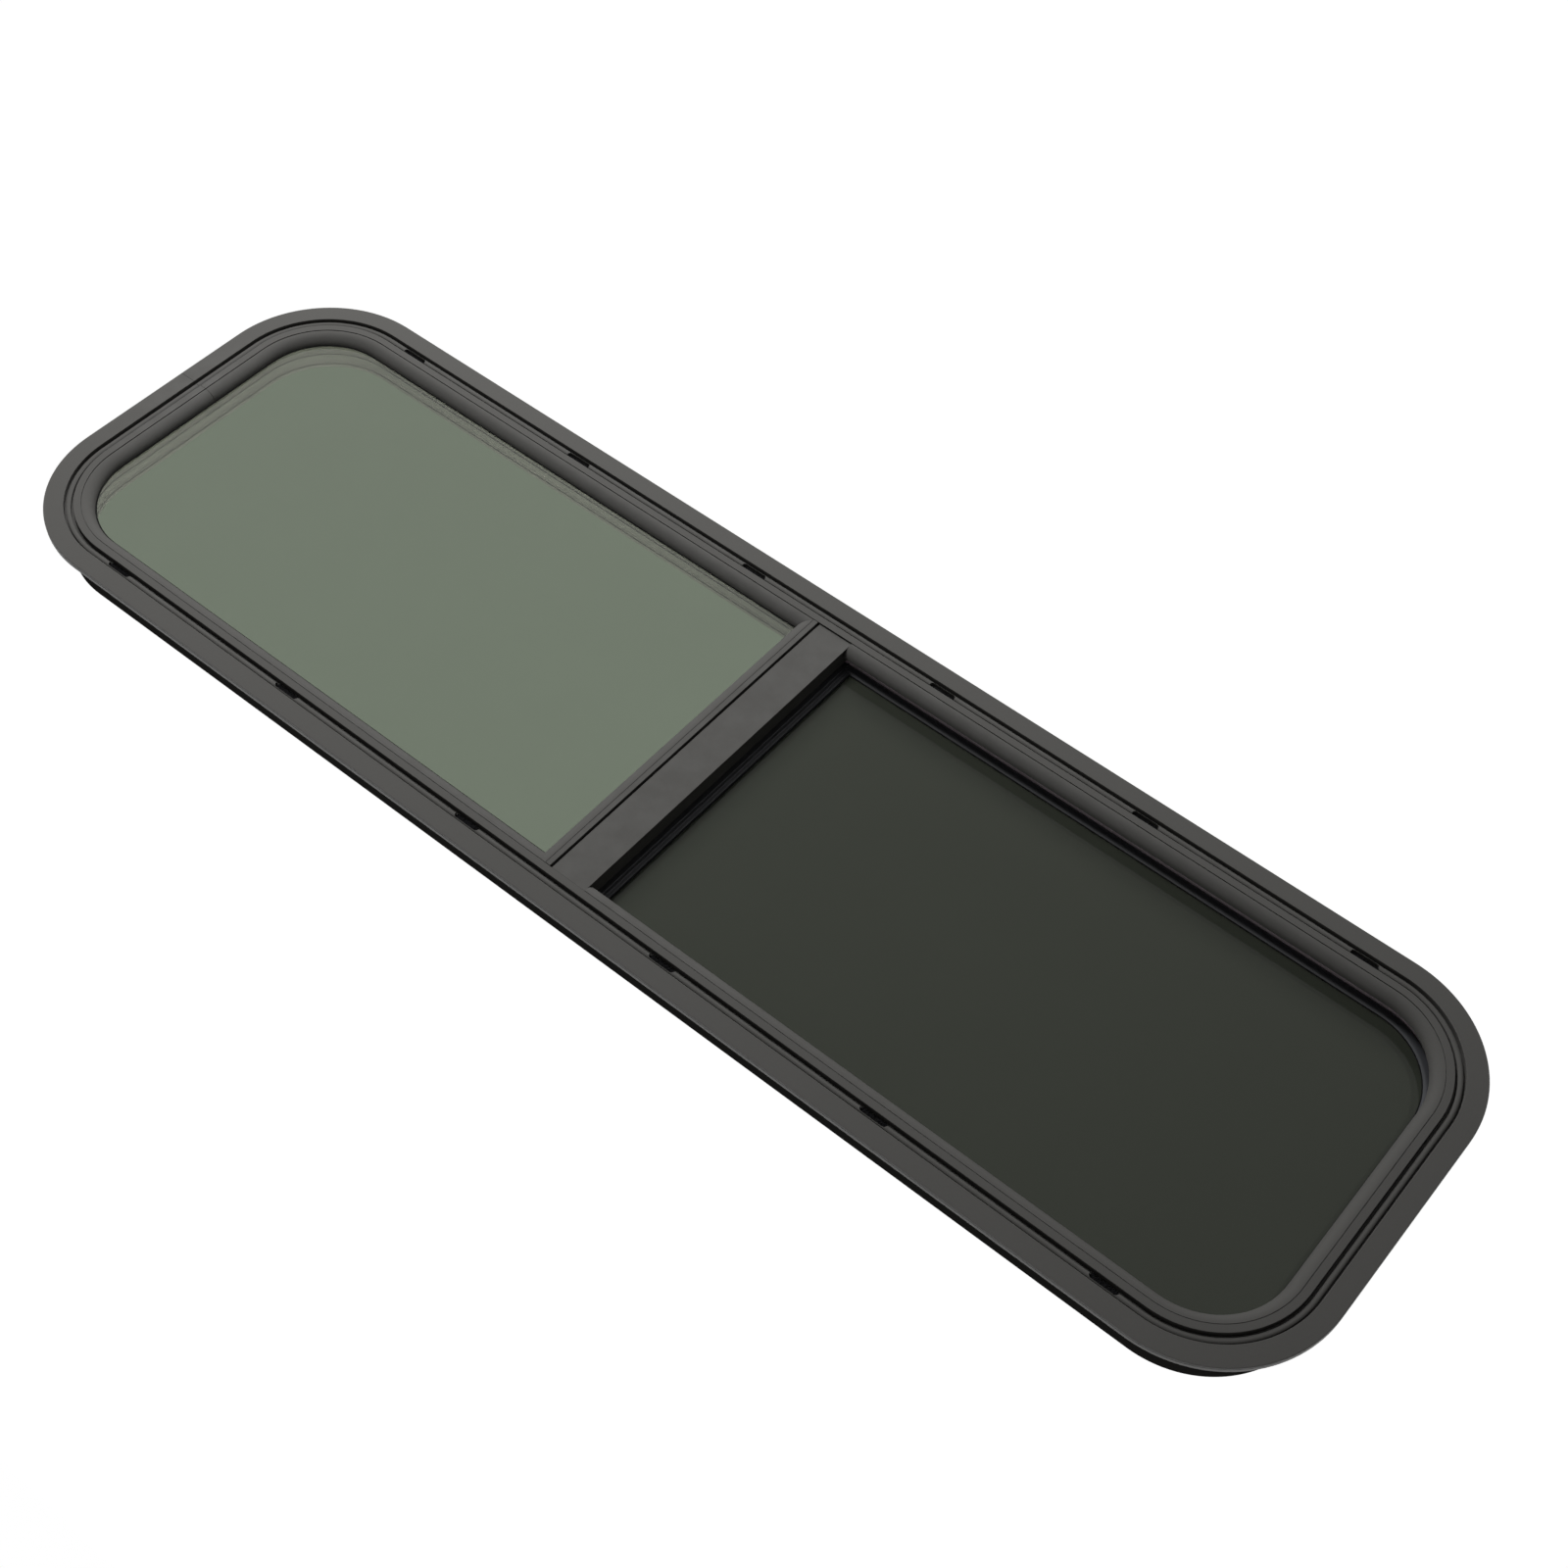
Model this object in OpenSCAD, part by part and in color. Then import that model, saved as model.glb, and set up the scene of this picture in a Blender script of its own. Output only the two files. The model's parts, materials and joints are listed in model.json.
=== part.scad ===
// Horizontal sliding window for a caravan wall, shown closed.
// Seen from outside, the fixed pane is on the right (+X) and the sliding sash on the left (-X).
// X runs along the window, +Z is up, the outside faces -Y and the wall's outer skin is the plane y = 0.
// The origin lies on the back of the flange seal, at the middle of the bottom flange.
// Sections are drawn with x as the distance inwards from the flange's outer edge and y as the depth.

/* [Overall] */
// Width over the outer flange
window_w = 1250; // [900:1:1600]
// Height over the outer flange
window_h = 383.5; // [320:0.5:600]
// Radius of the flange's outer corners
corner_r = 105; // [80:1:140]
// Depth of the frame body behind the wall's outer skin
body_depth = 43; // [40:0.5:60]
// Depth of the frame's hollow and its liner, where the outer wall runs on
box_depth = 36.6; // [36.6:0.1:39]

/* [Frame extrusion] */
// Wall thickness of the extrusion
sheet_t = 1.4; // [1.2:0.1:1.6]
// Thickness of the flange at its outer edge
flange_t = 2; // [1.6:0.1:3]
// Width of the flange outside the body
flange_w = 15.3; // [13:0.1:18]
// Width of the flange's turned-down edge
flange_lip = 1.2; // [1:0.1:1.5]
// Gap between that edge and the wall
edge_gap = 0.4; // [0.2:0.1:1]
// Width of the eased outer edge of the flange's face
edge_round = 1.2; // [0.6:0.1:2]
// Rise of the face over the eased edge
edge_rise = 0.8; // [0.4:0.1:1]
// Fine line round the outer edge, its width and its distance below the face
edge_line = 0.6; // [0.4:0.1:0.8]
// Width of the drain groove
groove_w = 8; // [7.6:0.1:10]
// Depth of the drain groove below the flange's outer edge
groove_d = 4; // [3:0.1:4.5]
// Width of the rounded strip along the groove
strip_w = 4.1; // [3.6:0.1:4.6]
// Gap between the flange and that strip
strip_gap = 1.6; // [1.2:0.1:1.8]
// Drop of the strip's crown below the land
strip_drop = 1.8; // [1.2:0.1:2.4]
// Radius of the strip's crown
strip_round = 3; // [2.6:0.1:6]
// Width of the land beside the groove
land_w = 6.6; // [5:0.1:8]
// Rise of the land, and of the flange's inner edge, over the flange's outer edge
land_rise = 1.5; // [1.2:0.1:2.5]
// Depth and width of the fine line between land and roll
shadow_line = 0.4; // [0.2:0.1:0.6]
// Radius of the rounded roll that dips to the glass
roll_r = 10.1; // [9.8:0.1:10.4]
// Angle that the roll turns through
roll_angle = 80; // [77:1:82]
// Width of the saw cut where the bent frame's ends meet
seam_gap = 0.3; // [0.2:0.1:0.5]
// Height of that seam over the middle of the frame's end
seam_rise = -19; // [-40:1:40]

/* [Weep slots] */
// Slots in each long side
slot_count = 6; // [4:1:8]
// Distance between slot centres
slot_pitch = 195.7; // [120:0.1:200]
// Length of a slot
slot_l = 24; // [16:0.5:30]
// Width of a slot across the groove
slot_w = 5.4; // [4:0.1:5.6]
// Foam block behind a slot, beyond the slot at each end
foam_margin = 4; // [2:0.5:8]
// Depth of a foam block
foam_d = 9; // [5:0.5:14]
// Gap round a foam block
foam_clear = 0.3; // [0.2:0.1:0.6]
// Drop of the foam in a slot below the strip's crown
foam_drop = 1.6; // [0.8:0.1:3]

/* [Seal and liner] */
// Thickness of the seal between flange and wall
seal_t = 3; // [2.6:0.1:5]
// Distance of the seal from the flange edge
seal_inset = 1.8; // [1.6:0.1:3]
// Thickness of the light jamb liner
liner_t = 1.4; // [1:0.1:1.6]
// Distance of the jamb liner's face from the flange edge
jamb_p = 34.3; // [34:0.1:35]
// Depth of the running slots in the jamb
slot_depth = 5.4; // [5:0.1:5.8]
// Running clearance of what slides in a slot, each side
run_clear = 0.5; // [0.3:0.1:0.6]

/* [Fixed pane] */
// Thickness of the fixed glass
fixed_t = 4; // [3:0.5:4]
// Depth of the fixed glass's outer face behind the wall's outer skin
fixed_y = 3; // [2.9:0.1:3.2]
// Thickness of the rubber round the fixed glass edge
rubber_t = 1.4; // [1:0.1:1.6]
// Distance of the rubber's inner edge from the flange edge
rubber_p = 42.4; // [42:0.1:44]

/* [Mullion] */
// Face of the mullion bar, width
bar_w = 33; // [28:0.5:40]
// Place of the bar's sash-side edge
bar_x = -13; // [-20:0.5:0]
// Drop of the bar's face below the land
bar_drop = 1.2; // [0.8:0.1:2]
// Shadow gap between bar and glazing bead
bead_gap = 1.8; // [1:0.1:2.5]
// Flat strip of the glazing bead beside the gap
bead_strip = 4.6; // [3:0.1:6]
// Depth of the mullion box behind the wall's outer skin
mullion_y = 13.4; // [13.2:0.1:13.6]

/* [Sash] */
// Depth of the sash frame's outer face
sash_y = 15; // [15:0.1:15.2]
// Thickness of the sash frame
sash_t = 8; // [7.6:0.1:8.4]
// Width of the sash frame's visible face
sash_face = 7.2; // [6.6:0.1:9]
// Width of the sash frame's slanted edge beside the glass
sash_slant = 3.6; // [2:0.1:4]
// Thickness of the sash glass
sash_glass_t = 3.2; // [3:0.1:3.6]
// How far the glass sits inside the sash frame
glass_bite = 4.4; // [4:0.1:5]
// Width of the sash's meeting stile
stile_w = 28; // [24:0.5:30]
// Width of the stile seen beside the mullion bar
stile_show = 8; // [4:0.5:12]
// Height of the two ridges on the stile
ridge_h = 0.8; // [0.4:0.1:1]
// Diameter of the latch pin
latch_d = 6; // [4:0.5:7]
// Height of the pull handle
pull_h = 90; // [60:1:120]

/* [Insect screen] */
// Depth of the screen frame's outer face
screen_y = 28; // [27.8:0.1:28.2]
// Thickness of the screen frame
screen_t = 4.6; // [4.4:0.1:4.8]
// Width of the screen frame's visible face
screen_face = 12; // [10:0.1:14]
// Width of the screen's free stile
screen_stile_w = 22; // [18:0.5:24]
// Thickness of the mesh sheet
mesh_t = 0.4; // [0.3:0.1:0.5]
// Diameter of the cord that holds the mesh
spline_d = 2.6; // [2.2:0.1:3]

/* [Hidden] */
$fn = 96;

// Depths of the frame's faces
face_y = -(seal_t + flange_t);
floor_y = face_y + groove_d;
land_y = face_y - land_rise;
bar_y = land_y + bar_drop;
// Distances of the section's corners from the flange edge
groove_p0 = flange_w + sheet_t;
groove_p1 = groove_p0 + groove_w;
land_p = groove_p1 + land_w;
lip_p = land_p + roll_r * sin(roll_angle);
inner_p = jamb_p - liner_t;
chamber_p = jamb_p - slot_depth - liner_t - sheet_t;
// The roll's centre and the lip's end
roll_y = land_y + shadow_line + roll_r;
lip_y = roll_y - roll_r * cos(roll_angle);
// Origin on the seal's back, so the window's middle is this high
seal_w = flange_w - 2 * seal_inset;
mid_z = window_h / 2 - seal_inset - seal_w / 2;
end_x = window_w / 2;
half_h = window_h / 2;
strip_p0 = groove_p0 + strip_gap;
strip_y = land_y + strip_drop;
slot_p = groove_p1 - 0.3 - slot_w / 2;
back_lip = 3.4;
back_gap = 0.6;
ledge_drop = 3.4;
bar_pocket = 8;
overlap = 1;
fit = 0.1;
touch = 0.05;

// Running slots in the jamb for sash and screen
tongue_t = 4.2;
sash_mid_y = sash_y + sash_t / 2;
screen_mid_y = screen_y + screen_t / 2;
run_w = tongue_t + 2 * run_clear;
track_p = jamb_p - slot_depth;
rib_y = fixed_y + fixed_t + rubber_t + back_gap;
liner_y = rib_y + sheet_t;
// Sash and screen share the clearance to the jamb's face
sash_p = jamb_p + run_clear;
glide_t = 0.7;
tongue_p = track_p + glide_t;
rail_p = sash_p + sash_face;
rubber_w = 0.9;
// Places along the window
bead_x = bar_x + bar_w + bead_gap;
bead_roll_x = bead_x + bead_strip;
bead_lip_x = bead_roll_x + roll_r * sin(roll_angle);
pocket_x = bar_x + bar_w;
fixed_edge_x = pocket_x + bar_pocket;
stile_x0 = bar_x - stile_show;
stile_x1 = stile_x0 + stile_w;
screen_stile_x1 = stile_x0 + screen_stile_w;
latch_x = bar_x + 14.5;
glass_p = rail_p - glass_bite;
glass_y = sash_mid_y - sash_glass_t / 2;
spline_p = sash_p + screen_face / 2;
mesh_y = screen_y + 1;
block_h = 14;
latch_h = 34;

// A length of section along the bottom side, from x0 to x1
module bottom_run(x0, x1) {
    translate([x1, 0, -half_h])
        rotate([0, -90, 0])
            linear_extrude(x1 - x0)
                children();
}

// The same length along the top side
module top_run(x0, x1) {
    rotate([0, 180, 0])
        bottom_run(-x1, -x0)
            children();
}

// A length of section up one end, side is 1 for +X and -1 for -X
module end_run(side, z0, z1) {
    rotate([0, side > 0 ? -90 : 90, 0])
        translate([side > 0 ? z1 : -z0, 0, -end_x])
            rotate([0, -90, 0])
                linear_extrude(z1 - z0)
                    children();
}

// One rounded corner of the section, on the side sx and sz
module corner_turn(sx, sz) {
    turn = sz < 0 ? (sx > 0 ? 0 : 90) : (sx > 0 ? 270 : 180);
    translate([sx * (end_x - corner_r), 0, sz * (half_h - corner_r)])
        rotate([0, turn, 0])
            rotate([-90, 0, 0])
                rotate_extrude(angle = 90)
                    translate([corner_r, 0])
                        mirror([1, 0])
                            children();
}

// The section carried round one half of the frame, from x_from to the end on that side
module half_sweep(side, x_from) {
    x0 = side > 0 ? x_from : corner_r - end_x;
    x1 = side > 0 ? end_x - corner_r : x_from;
    bottom_run(x0, x1) children();
    top_run(x0, x1) children();
    corner_turn(side, -1) children();
    corner_turn(side, 1) children();
    end_run(side, corner_r - half_h, half_h - corner_r) children();
}

// The section carried round the whole frame
module full_sweep() {
    half_sweep(1, 0) children();
    half_sweep(-1, 0) children();
}

// A flat outline in X and Z, given thickness from y0 to y1
module slab(y0, y1) {
    translate([0, y1, 0])
        rotate([90, 0, 0])
            linear_extrude(y1 - y0)
                children();
}

// Outline of a pane that follows the frame at distance p and ends square at x_from
module pane_outline(side, p, x_from) {
    r = corner_r - p;
    far = end_x - p;
    top = half_h - p;
    x0 = side > 0 ? x_from : corner_r - end_x;
    x1 = side > 0 ? end_x - corner_r : x_from;
    translate([x0, -top])
        square([x1 - x0, 2 * top]);
    translate([side > 0 ? x1 - overlap : -far, -(top - r)])
        square([r + overlap, 2 * (top - r)]);
    for (sz = [-1, 1])
        translate([side * (end_x - corner_r), sz * (top - r)])
            circle(r);
}

// A box in the section's own plane
module box2(p0, p1, y0, y1) {
    translate([p0, y0])
        square([p1 - p0, y1 - y0]);
}

// The rounded roll between x = 0 and its lip, as a bent sheet
module roll_section() {
    reach = 2 * roll_r;
    translate([0, roll_y])
        intersection() {
            difference() {
                circle(roll_r);
                circle(roll_r - sheet_t);
            }
            polygon([
                [0, 0],
                [0, -reach],
                [reach, -reach],
                [reach * sin(roll_angle), -reach * cos(roll_angle)]
            ]);
        }
}

// The flange, which rises towards the groove, and its turned-down edge with a fine line round it
module flange_section() {
    difference() {
        polygon([
            [0, -edge_gap],
            [0, face_y],
            [edge_round, face_y - edge_rise],
            [groove_p0, land_y],
            [groove_p0, -seal_t],
            [flange_lip, -seal_t],
            [flange_lip, -edge_gap]
        ]);
        box2(-overlap, edge_line, face_y + edge_line, face_y + 2 * edge_line);
    }
}

// Strip with a rounded crown along the middle of the drain groove
module strip_section() {
    intersection() {
        box2(strip_p0, strip_p0 + strip_w, strip_y, floor_y + touch);
        translate([strip_p0 + strip_w / 2, strip_y + strip_round])
            circle(strip_round);
    }
}

// Flange, drain groove, land, roll and body of the bent extrusion
module frame_section() {
    flange_section();
    strip_section();
    box2(flange_w, groove_p0, face_y, body_depth);
    box2(flange_w, groove_p1 + sheet_t, floor_y, floor_y + sheet_t);
    box2(groove_p1, groove_p1 + sheet_t, land_y, floor_y + sheet_t);
    box2(groove_p1, land_p - shadow_line, land_y, land_y + sheet_t);
    box2(groove_p1, land_p + sheet_t / 2, land_y + shadow_line + touch, land_y + sheet_t + shadow_line);
    translate([land_p, 0])
        roll_section();
    box2(inner_p - sheet_t, inner_p, land_y + sheet_t, rib_y + sheet_t);
    box2(inner_p - sheet_t, jamb_p, rib_y, liner_y);
    difference() {
        box2(flange_w, inner_p, liner_y - sheet_t, box_depth);
        box2(groove_p0, chamber_p, liner_y - sheet_t - overlap, box_depth - sheet_t);
        box2(chamber_p - overlap, inner_p - sheet_t, liner_y - sheet_t - overlap, liner_y);
        for (y = [sash_mid_y, screen_mid_y])
            box2(track_p - liner_t, inner_p + overlap, y - run_w / 2 - liner_t, y + run_w / 2 + liner_t);
    }
}

// A long hole's outline with round ends, less a margin all round
module slot_outline(margin) {
    w = slot_w - 2 * margin;
    straight = slot_l - slot_w;
    square([straight, w], center = true);
    for (sx = [-1, 1])
        translate([sx * straight / 2, 0])
            circle(w / 2);
}

// Long holes through the strip and the floor of the drain groove, in the top and bottom sides
module weep_cuts() {
    first = -(slot_count - 1) / 2;
    slab(strip_y - overlap, floor_y + sheet_t + overlap)
        for (i = [0 : slot_count - 1], sz = [-1, 1])
            translate([(first + i) * slot_pitch, sz * (half_h - slot_p)])
                slot_outline(0);
}

// Room in the roll for the ends of the mullion
module mullion_notches() {
    notch_l = bead_roll_x - bar_x + 2 * fit;
    notch_p = land_p - shadow_line - fit;
    for (sz = [-1, 1])
        slab(land_y - overlap, rib_y - fit)
            translate([bar_x - fit, sz > 0 ? half_h - lip_p - overlap : notch_p - half_h])
                square([notch_l, lip_p + overlap - notch_p]);
}

module outer_frame() {
    color("#3d3d3b")
        translate([0, 0, mid_z])
            difference() {
                full_sweep() frame_section();
                weep_cuts();
                mullion_notches();
                translate([end_x - corner_r, land_y - overlap, seam_rise - seam_gap / 2])
                    cube([corner_r + overlap, body_depth - land_y + 2 * overlap, seam_gap]);
            }
}

// Plate inside the hollow frame that joins its two ends
module frame_splice() {
    splice_l = 60;
    splice_t = 2;
    splice_y = floor_y + sheet_t + 3;
    color("#9a9a98")
        translate([end_x - groove_p0 - splice_t, splice_y, mid_z + seam_rise - splice_l / 2])
            cube([splice_t, box_depth - 2 * sheet_t - splice_y, splice_l]);
}

module flange_seal() {
    color("#1c1c1c")
        translate([0, 0, mid_z])
            full_sweep() box2(seal_inset, seal_inset + seal_w, -seal_t, 0);
}

// Light plastic lining of the jamb, with a running slot for sash and for screen
module liner_section() {
    difference() {
        union() {
            box2(inner_p, jamb_p, liner_y, box_depth);
            for (y = [sash_mid_y, screen_mid_y])
                box2(track_p - liner_t, jamb_p, y - run_w / 2 - liner_t, y + run_w / 2 + liner_t);
        }
        for (y = [sash_mid_y, screen_mid_y])
            box2(track_p, jamb_p + overlap, y - run_w / 2, y + run_w / 2);
    }
}

module jamb_liner() {
    color("#b9b8b0")
        translate([0, 0, mid_z])
            full_sweep() liner_section();
}

// Porous blocks in the frame's chamber, one under each weep slot, that swell up into the slot
module foam_row(sz) {
    first = -(slot_count - 1) / 2;
    block_w = chamber_p - groove_p0 - 2 * foam_clear;
    block_l = slot_l + 2 * foam_margin;
    block_mid = (groove_p0 + chamber_p) / 2;
    block_y = floor_y + sheet_t;
    color("#17181a")
        translate([0, 0, mid_z])
            for (i = [0 : slot_count - 1])
                translate([(first + i) * slot_pitch, 0, 0]) {
                    slab(block_y, block_y + foam_d)
                        translate([0, sz * (half_h - block_mid)])
                            square([block_l, block_w], center = true);
                    slab(strip_y + foam_drop, block_y + overlap)
                        translate([0, sz * (half_h - slot_p)])
                            slot_outline(foam_clear);
                }
}

module weep_foam_top() {
    foam_row(1);
}

module weep_foam_bottom() {
    foam_row(-1);
}

module fixed_glass() {
    color("#7a8276", 0.6)
        translate([0, 0, mid_z])
            slab(fixed_y, fixed_y + fixed_t)
                pane_outline(1, inner_p + rubber_t + 2 * fit, fixed_edge_x);
}

// Rubber channel round the edge of the fixed glass, in front of it, round its edge and behind it
module fixed_glass_rubber() {
    front_y = lip_y + sheet_t * cos(roll_angle) + touch;
    back_y = fixed_y + fixed_t;
    color("#151515")
        translate([0, 0, mid_z])
            difference() {
                slab(front_y, rib_y)
                    pane_outline(1, inner_p + touch, fixed_edge_x - rubber_t);
                slab(front_y - overlap, fixed_y + overlap)
                    pane_outline(1, rubber_p, bead_lip_x + 2 * fit);
                slab(fixed_y, back_y)
                    pane_outline(1, inner_p + rubber_t + fit, fixed_edge_x - fit);
                slab(back_y - overlap, rib_y + overlap)
                    pane_outline(1, jamb_p + back_lip, fixed_edge_x + back_lip);
            }
}

// Soft pile that closes a running slot where nothing stands in it
module track_pile(y) {
    pile_x = stile_x1 + 6;
    color("#a3a29a")
        translate([0, 0, mid_z])
            half_sweep(1, pile_x) box2(track_p + touch, jamb_p - touch, y - run_w / 2 + touch, y + run_w / 2 - touch);
}

module sash_track_pile() {
    track_pile(sash_mid_y);
}

module screen_track_pile() {
    track_pile(screen_mid_y);
}

// Hollow bar between the panes, with a ledge for the glazing bead and a leg behind the glass
module bar_section() {
    box2(bar_x, pocket_x, bar_y, bar_y + sheet_t);
    box2(bar_x + sheet_t, bar_x + 2 * sheet_t, bar_y, mullion_y);
    box2(pocket_x - sheet_t, pocket_x, bar_y, mullion_y);
    box2(bar_x + sheet_t, pocket_x, mullion_y - sheet_t, mullion_y);
    box2(pocket_x - sheet_t, fixed_edge_x - rubber_t - fit, bar_y + ledge_drop, bar_y + ledge_drop + sheet_t);
    box2(pocket_x - sheet_t, fixed_edge_x + back_lip, rib_y, rib_y + sheet_t);
}

// A length of an X and Y section standing between two distances from the flange edge
module upright(p) {
    translate([0, 0, p - half_h])
        linear_extrude(window_h - 2 * p)
            children();
}

module mullion_bar() {
    color("#3f3f3d")
        translate([0, 0, mid_z])
            difference() {
                union() {
                    upright(land_p + fit)
                        box2(bar_x, pocket_x, bar_y, bar_y + sheet_t);
                    upright(jamb_p) bar_section();
                }
                slab(mullion_y - sheet_t - overlap, mullion_y + overlap)
                    translate([latch_x, 0])
                        circle(latch_d / 2 + fit);
            }
}

// Bead that holds the fixed glass: a flat strip, then the same roll as the frame's, coped at its ends
module bead_section() {
    box2(bead_x, bead_roll_x - shadow_line, land_y, land_y + sheet_t);
    box2(bead_x, bead_roll_x + sheet_t / 2, land_y + shadow_line + touch, land_y + sheet_t + shadow_line);
    box2(bead_x, bead_x + sheet_t, land_y, bar_y + ledge_drop);
    translate([bead_roll_x, 0])
        roll_section();
}

module mullion_glazing_bead() {
    color("#3d3d3b")
        translate([0, 0, mid_z])
            difference() {
                upright(land_p + fit) bead_section();
                for (sz = [-1, 1])
                    rotate([0, sz > 0 ? 180 : 0, 0])
                        bottom_run(sz > 0 ? -bead_lip_x - overlap : bead_roll_x, sz > 0 ? -bead_roll_x : bead_lip_x + overlap)
                            translate([land_p, roll_y]) {
                                circle(roll_r + touch);
                                box2(-land_w, lip_p - land_p + touch, 0, roll_r);
                            }
            }
}

module mullion_pile() {
    pile_x = bar_x + 3.2;
    pile_w = 5;
    pile_clear = 0.3;
    color("#202020")
        translate([0, 0, mid_z])
            upright(jamb_p + run_clear)
                box2(pile_x, pile_x + pile_w, mullion_y, sash_y - pile_clear);
}

// Block that fills an end of the mullion box and sits on the jamb liner
module mullion_block(sz) {
    w = bar_w - 3 * sheet_t - 2 * fit;
    color("#2a2a2a")
        translate([
            bar_x + 2 * sheet_t + fit,
            bar_y + sheet_t + fit,
            mid_z + (sz > 0 ? half_h - jamb_p - block_h : jamb_p - half_h)
        ])
            cube([w, mullion_y - bar_y - 2 * sheet_t - 2 * fit, block_h]);
}

module mullion_block_top() {
    mullion_block(1);
}

module mullion_block_bottom() {
    mullion_block(-1);
}

// Screws through the back of the mullion into its end blocks
module mullion_screws() {
    screw_d = 4.4;
    screw_h = 1;
    screw_edge = 11.5;
    color("#8c8c8a")
        translate([0, mullion_y, mid_z])
            for (sz = [-1, 1], x = [bar_x + screw_edge, pocket_x - screw_edge])
                translate([x, 0, sz * (half_h - jamb_p - block_h / 2)])
                    rotate([-90, 0, 0])
                        cylinder(d = screw_d, h = screw_h);
}

// Sash frame: a tongue in the running slot and a body with a slanted edge and a groove for the glass
module sash_section() {
    edge_t = 0.7;
    difference() {
        union() {
            box2(tongue_p, sash_p + overlap, sash_mid_y - tongue_t / 2, sash_mid_y + tongue_t / 2);
            polygon([
                [sash_p, sash_y],
                [rail_p - sash_slant, sash_y],
                [rail_p, glass_y - edge_t],
                [rail_p, sash_y + sash_t],
                [sash_p, sash_y + sash_t]
            ]);
        }
        box2(glass_p - fit, rail_p + overlap, glass_y - fit, glass_y + sash_glass_t + fit);
    }
}

module sash_rail() {
    color("#1d1e1e")
        translate([0, 0, mid_z])
            half_sweep(-1, stile_x0 + glass_bite - fit) sash_section();
}

// Meeting stile behind the mullion, with two fine ridges on the part that shows
module sash_stile() {
    ridge_w = 1;
    ridge_pitch = 3;
    color("#1d1e1e")
        translate([0, 0, mid_z])
            difference() {
                upright(sash_p) {
                    difference() {
                        box2(stile_x0, stile_x1, sash_y, sash_y + sash_t);
                        box2(stile_x0 - overlap, stile_x0 + glass_bite, glass_y - fit, glass_y + sash_glass_t + fit);
                    }
                    for (x = [stile_x0 + ridge_pitch, stile_x0 + 2 * ridge_pitch])
                        box2(x, x + ridge_w, sash_y - ridge_h, sash_y + overlap);
                }
                for (sz = [-1, 1])
                    translate([
                        stile_x0 - overlap,
                        sash_y - ridge_h - overlap,
                        sz > 0 ? half_h - rail_p - fit : sash_p - half_h - overlap
                    ])
                        cube([glass_bite + overlap, sash_t + ridge_h + 2 * overlap, sash_face + fit + overlap]);
                slab(sash_y - overlap, sash_y + sash_t + overlap)
                    translate([latch_x, 0])
                        circle(latch_d / 2 + fit);
            }
}

module sash_glass() {
    color("#3a3b34", 0.7)
        translate([0, 0, mid_z])
            slab(glass_y, glass_y + sash_glass_t)
                pane_outline(-1, glass_p, stile_x0 + glass_bite - fit);
}

// Thin rubber line where the sash frame meets its glass, on the outside
module sash_glass_rubber() {
    rubber_h = 0.6;
    color("#101010")
        translate([0, 0, mid_z])
            difference() {
                slab(glass_y - rubber_h, glass_y)
                    pane_outline(-1, rail_p + touch, stile_x0 - touch);
                slab(glass_y - rubber_h - overlap, glass_y + overlap)
                    pane_outline(-1, rail_p + rubber_w, stile_x0 - rubber_w);
            }
}

// Blocks that carry a sliding frame in its slot
module glide_pair(y) {
    glide_l = 40;
    glide_inset = 40;
    color("#d8d6cc")
        translate([0, 0, mid_z])
            for (x = [stile_x0 - glide_inset - glide_l, corner_r - end_x + glide_inset])
                translate([x, y - tongue_t / 2, track_p - half_h])
                    cube([glide_l, tongue_t, glide_t]);
}

module sash_glides() {
    glide_pair(sash_mid_y);
}

module screen_glides() {
    glide_pair(screen_mid_y);
}

// Rubber stop between the sash's end and the jamb
module sash_bumper() {
    bumper_h = 60;
    color("#141414")
        translate([track_p - end_x, sash_mid_y - tongue_t / 2, mid_z - bumper_h / 2])
            cube([glide_t, tongue_t, bumper_h]);
}

// Finger pull on the inner face of the stile
module sash_pull() {
    pull_w = 12;
    pull_t = 4;
    pull_floor = 1.4;
    pull_wall = 4;
    pull_gap = 3;
    color("#222222")
        translate([stile_x0 + 2, sash_y + sash_t, mid_z + latch_h / 2 + pull_gap])
            difference() {
                cube([pull_w, pull_t, pull_h]);
                translate([pull_wall, pull_floor, pull_wall])
                    cube([pull_w, pull_t, pull_h - 2 * pull_wall]);
            }
}

// Spring latch whose pin passes through the stile into the back of the mullion
module sash_latch() {
    plate_w = 11;
    plate_t = 3.6;
    color("#262626")
        translate([latch_x, sash_y + sash_t, mid_z]) {
            translate([-plate_w / 2, 0, -latch_h / 2])
                cube([plate_w, plate_t, latch_h]);
            rotate([90, 0, 0])
                translate([0, 0, -overlap])
                    cylinder(d = latch_d, h = sash_y + sash_t - mullion_y + sheet_t + overlap);
        }
}

// Screen frame: a tongue in its slot and a flat body with a groove for the cord
module screen_section() {
    body_p1 = sash_p + screen_face;
    groove_y = screen_y + 2 * spline_d / 3;
    difference() {
        union() {
            box2(tongue_p, sash_p + overlap, screen_mid_y - tongue_t / 2, screen_mid_y + tongue_t / 2);
            box2(sash_p, body_p1, screen_y, screen_y + screen_t);
        }
        box2(spline_p - spline_d / 2, spline_p + spline_d / 2, screen_y - overlap, groove_y);
        box2(spline_p, body_p1 + overlap, screen_y - overlap, mesh_y);
    }
}

module screen_frame() {
    color("#252626")
        translate([0, 0, mid_z])
            half_sweep(-1, stile_x0) screen_section();
}

module screen_stile() {
    color("#252626")
        translate([0, 0, mid_z])
            upright(sash_p)
                difference() {
                    box2(stile_x0, screen_stile_x1, screen_y, screen_y + screen_t);
                    box2(stile_x0 - overlap, stile_x0 + screen_face / 2, screen_y - overlap, mesh_y);
                }
}

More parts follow.
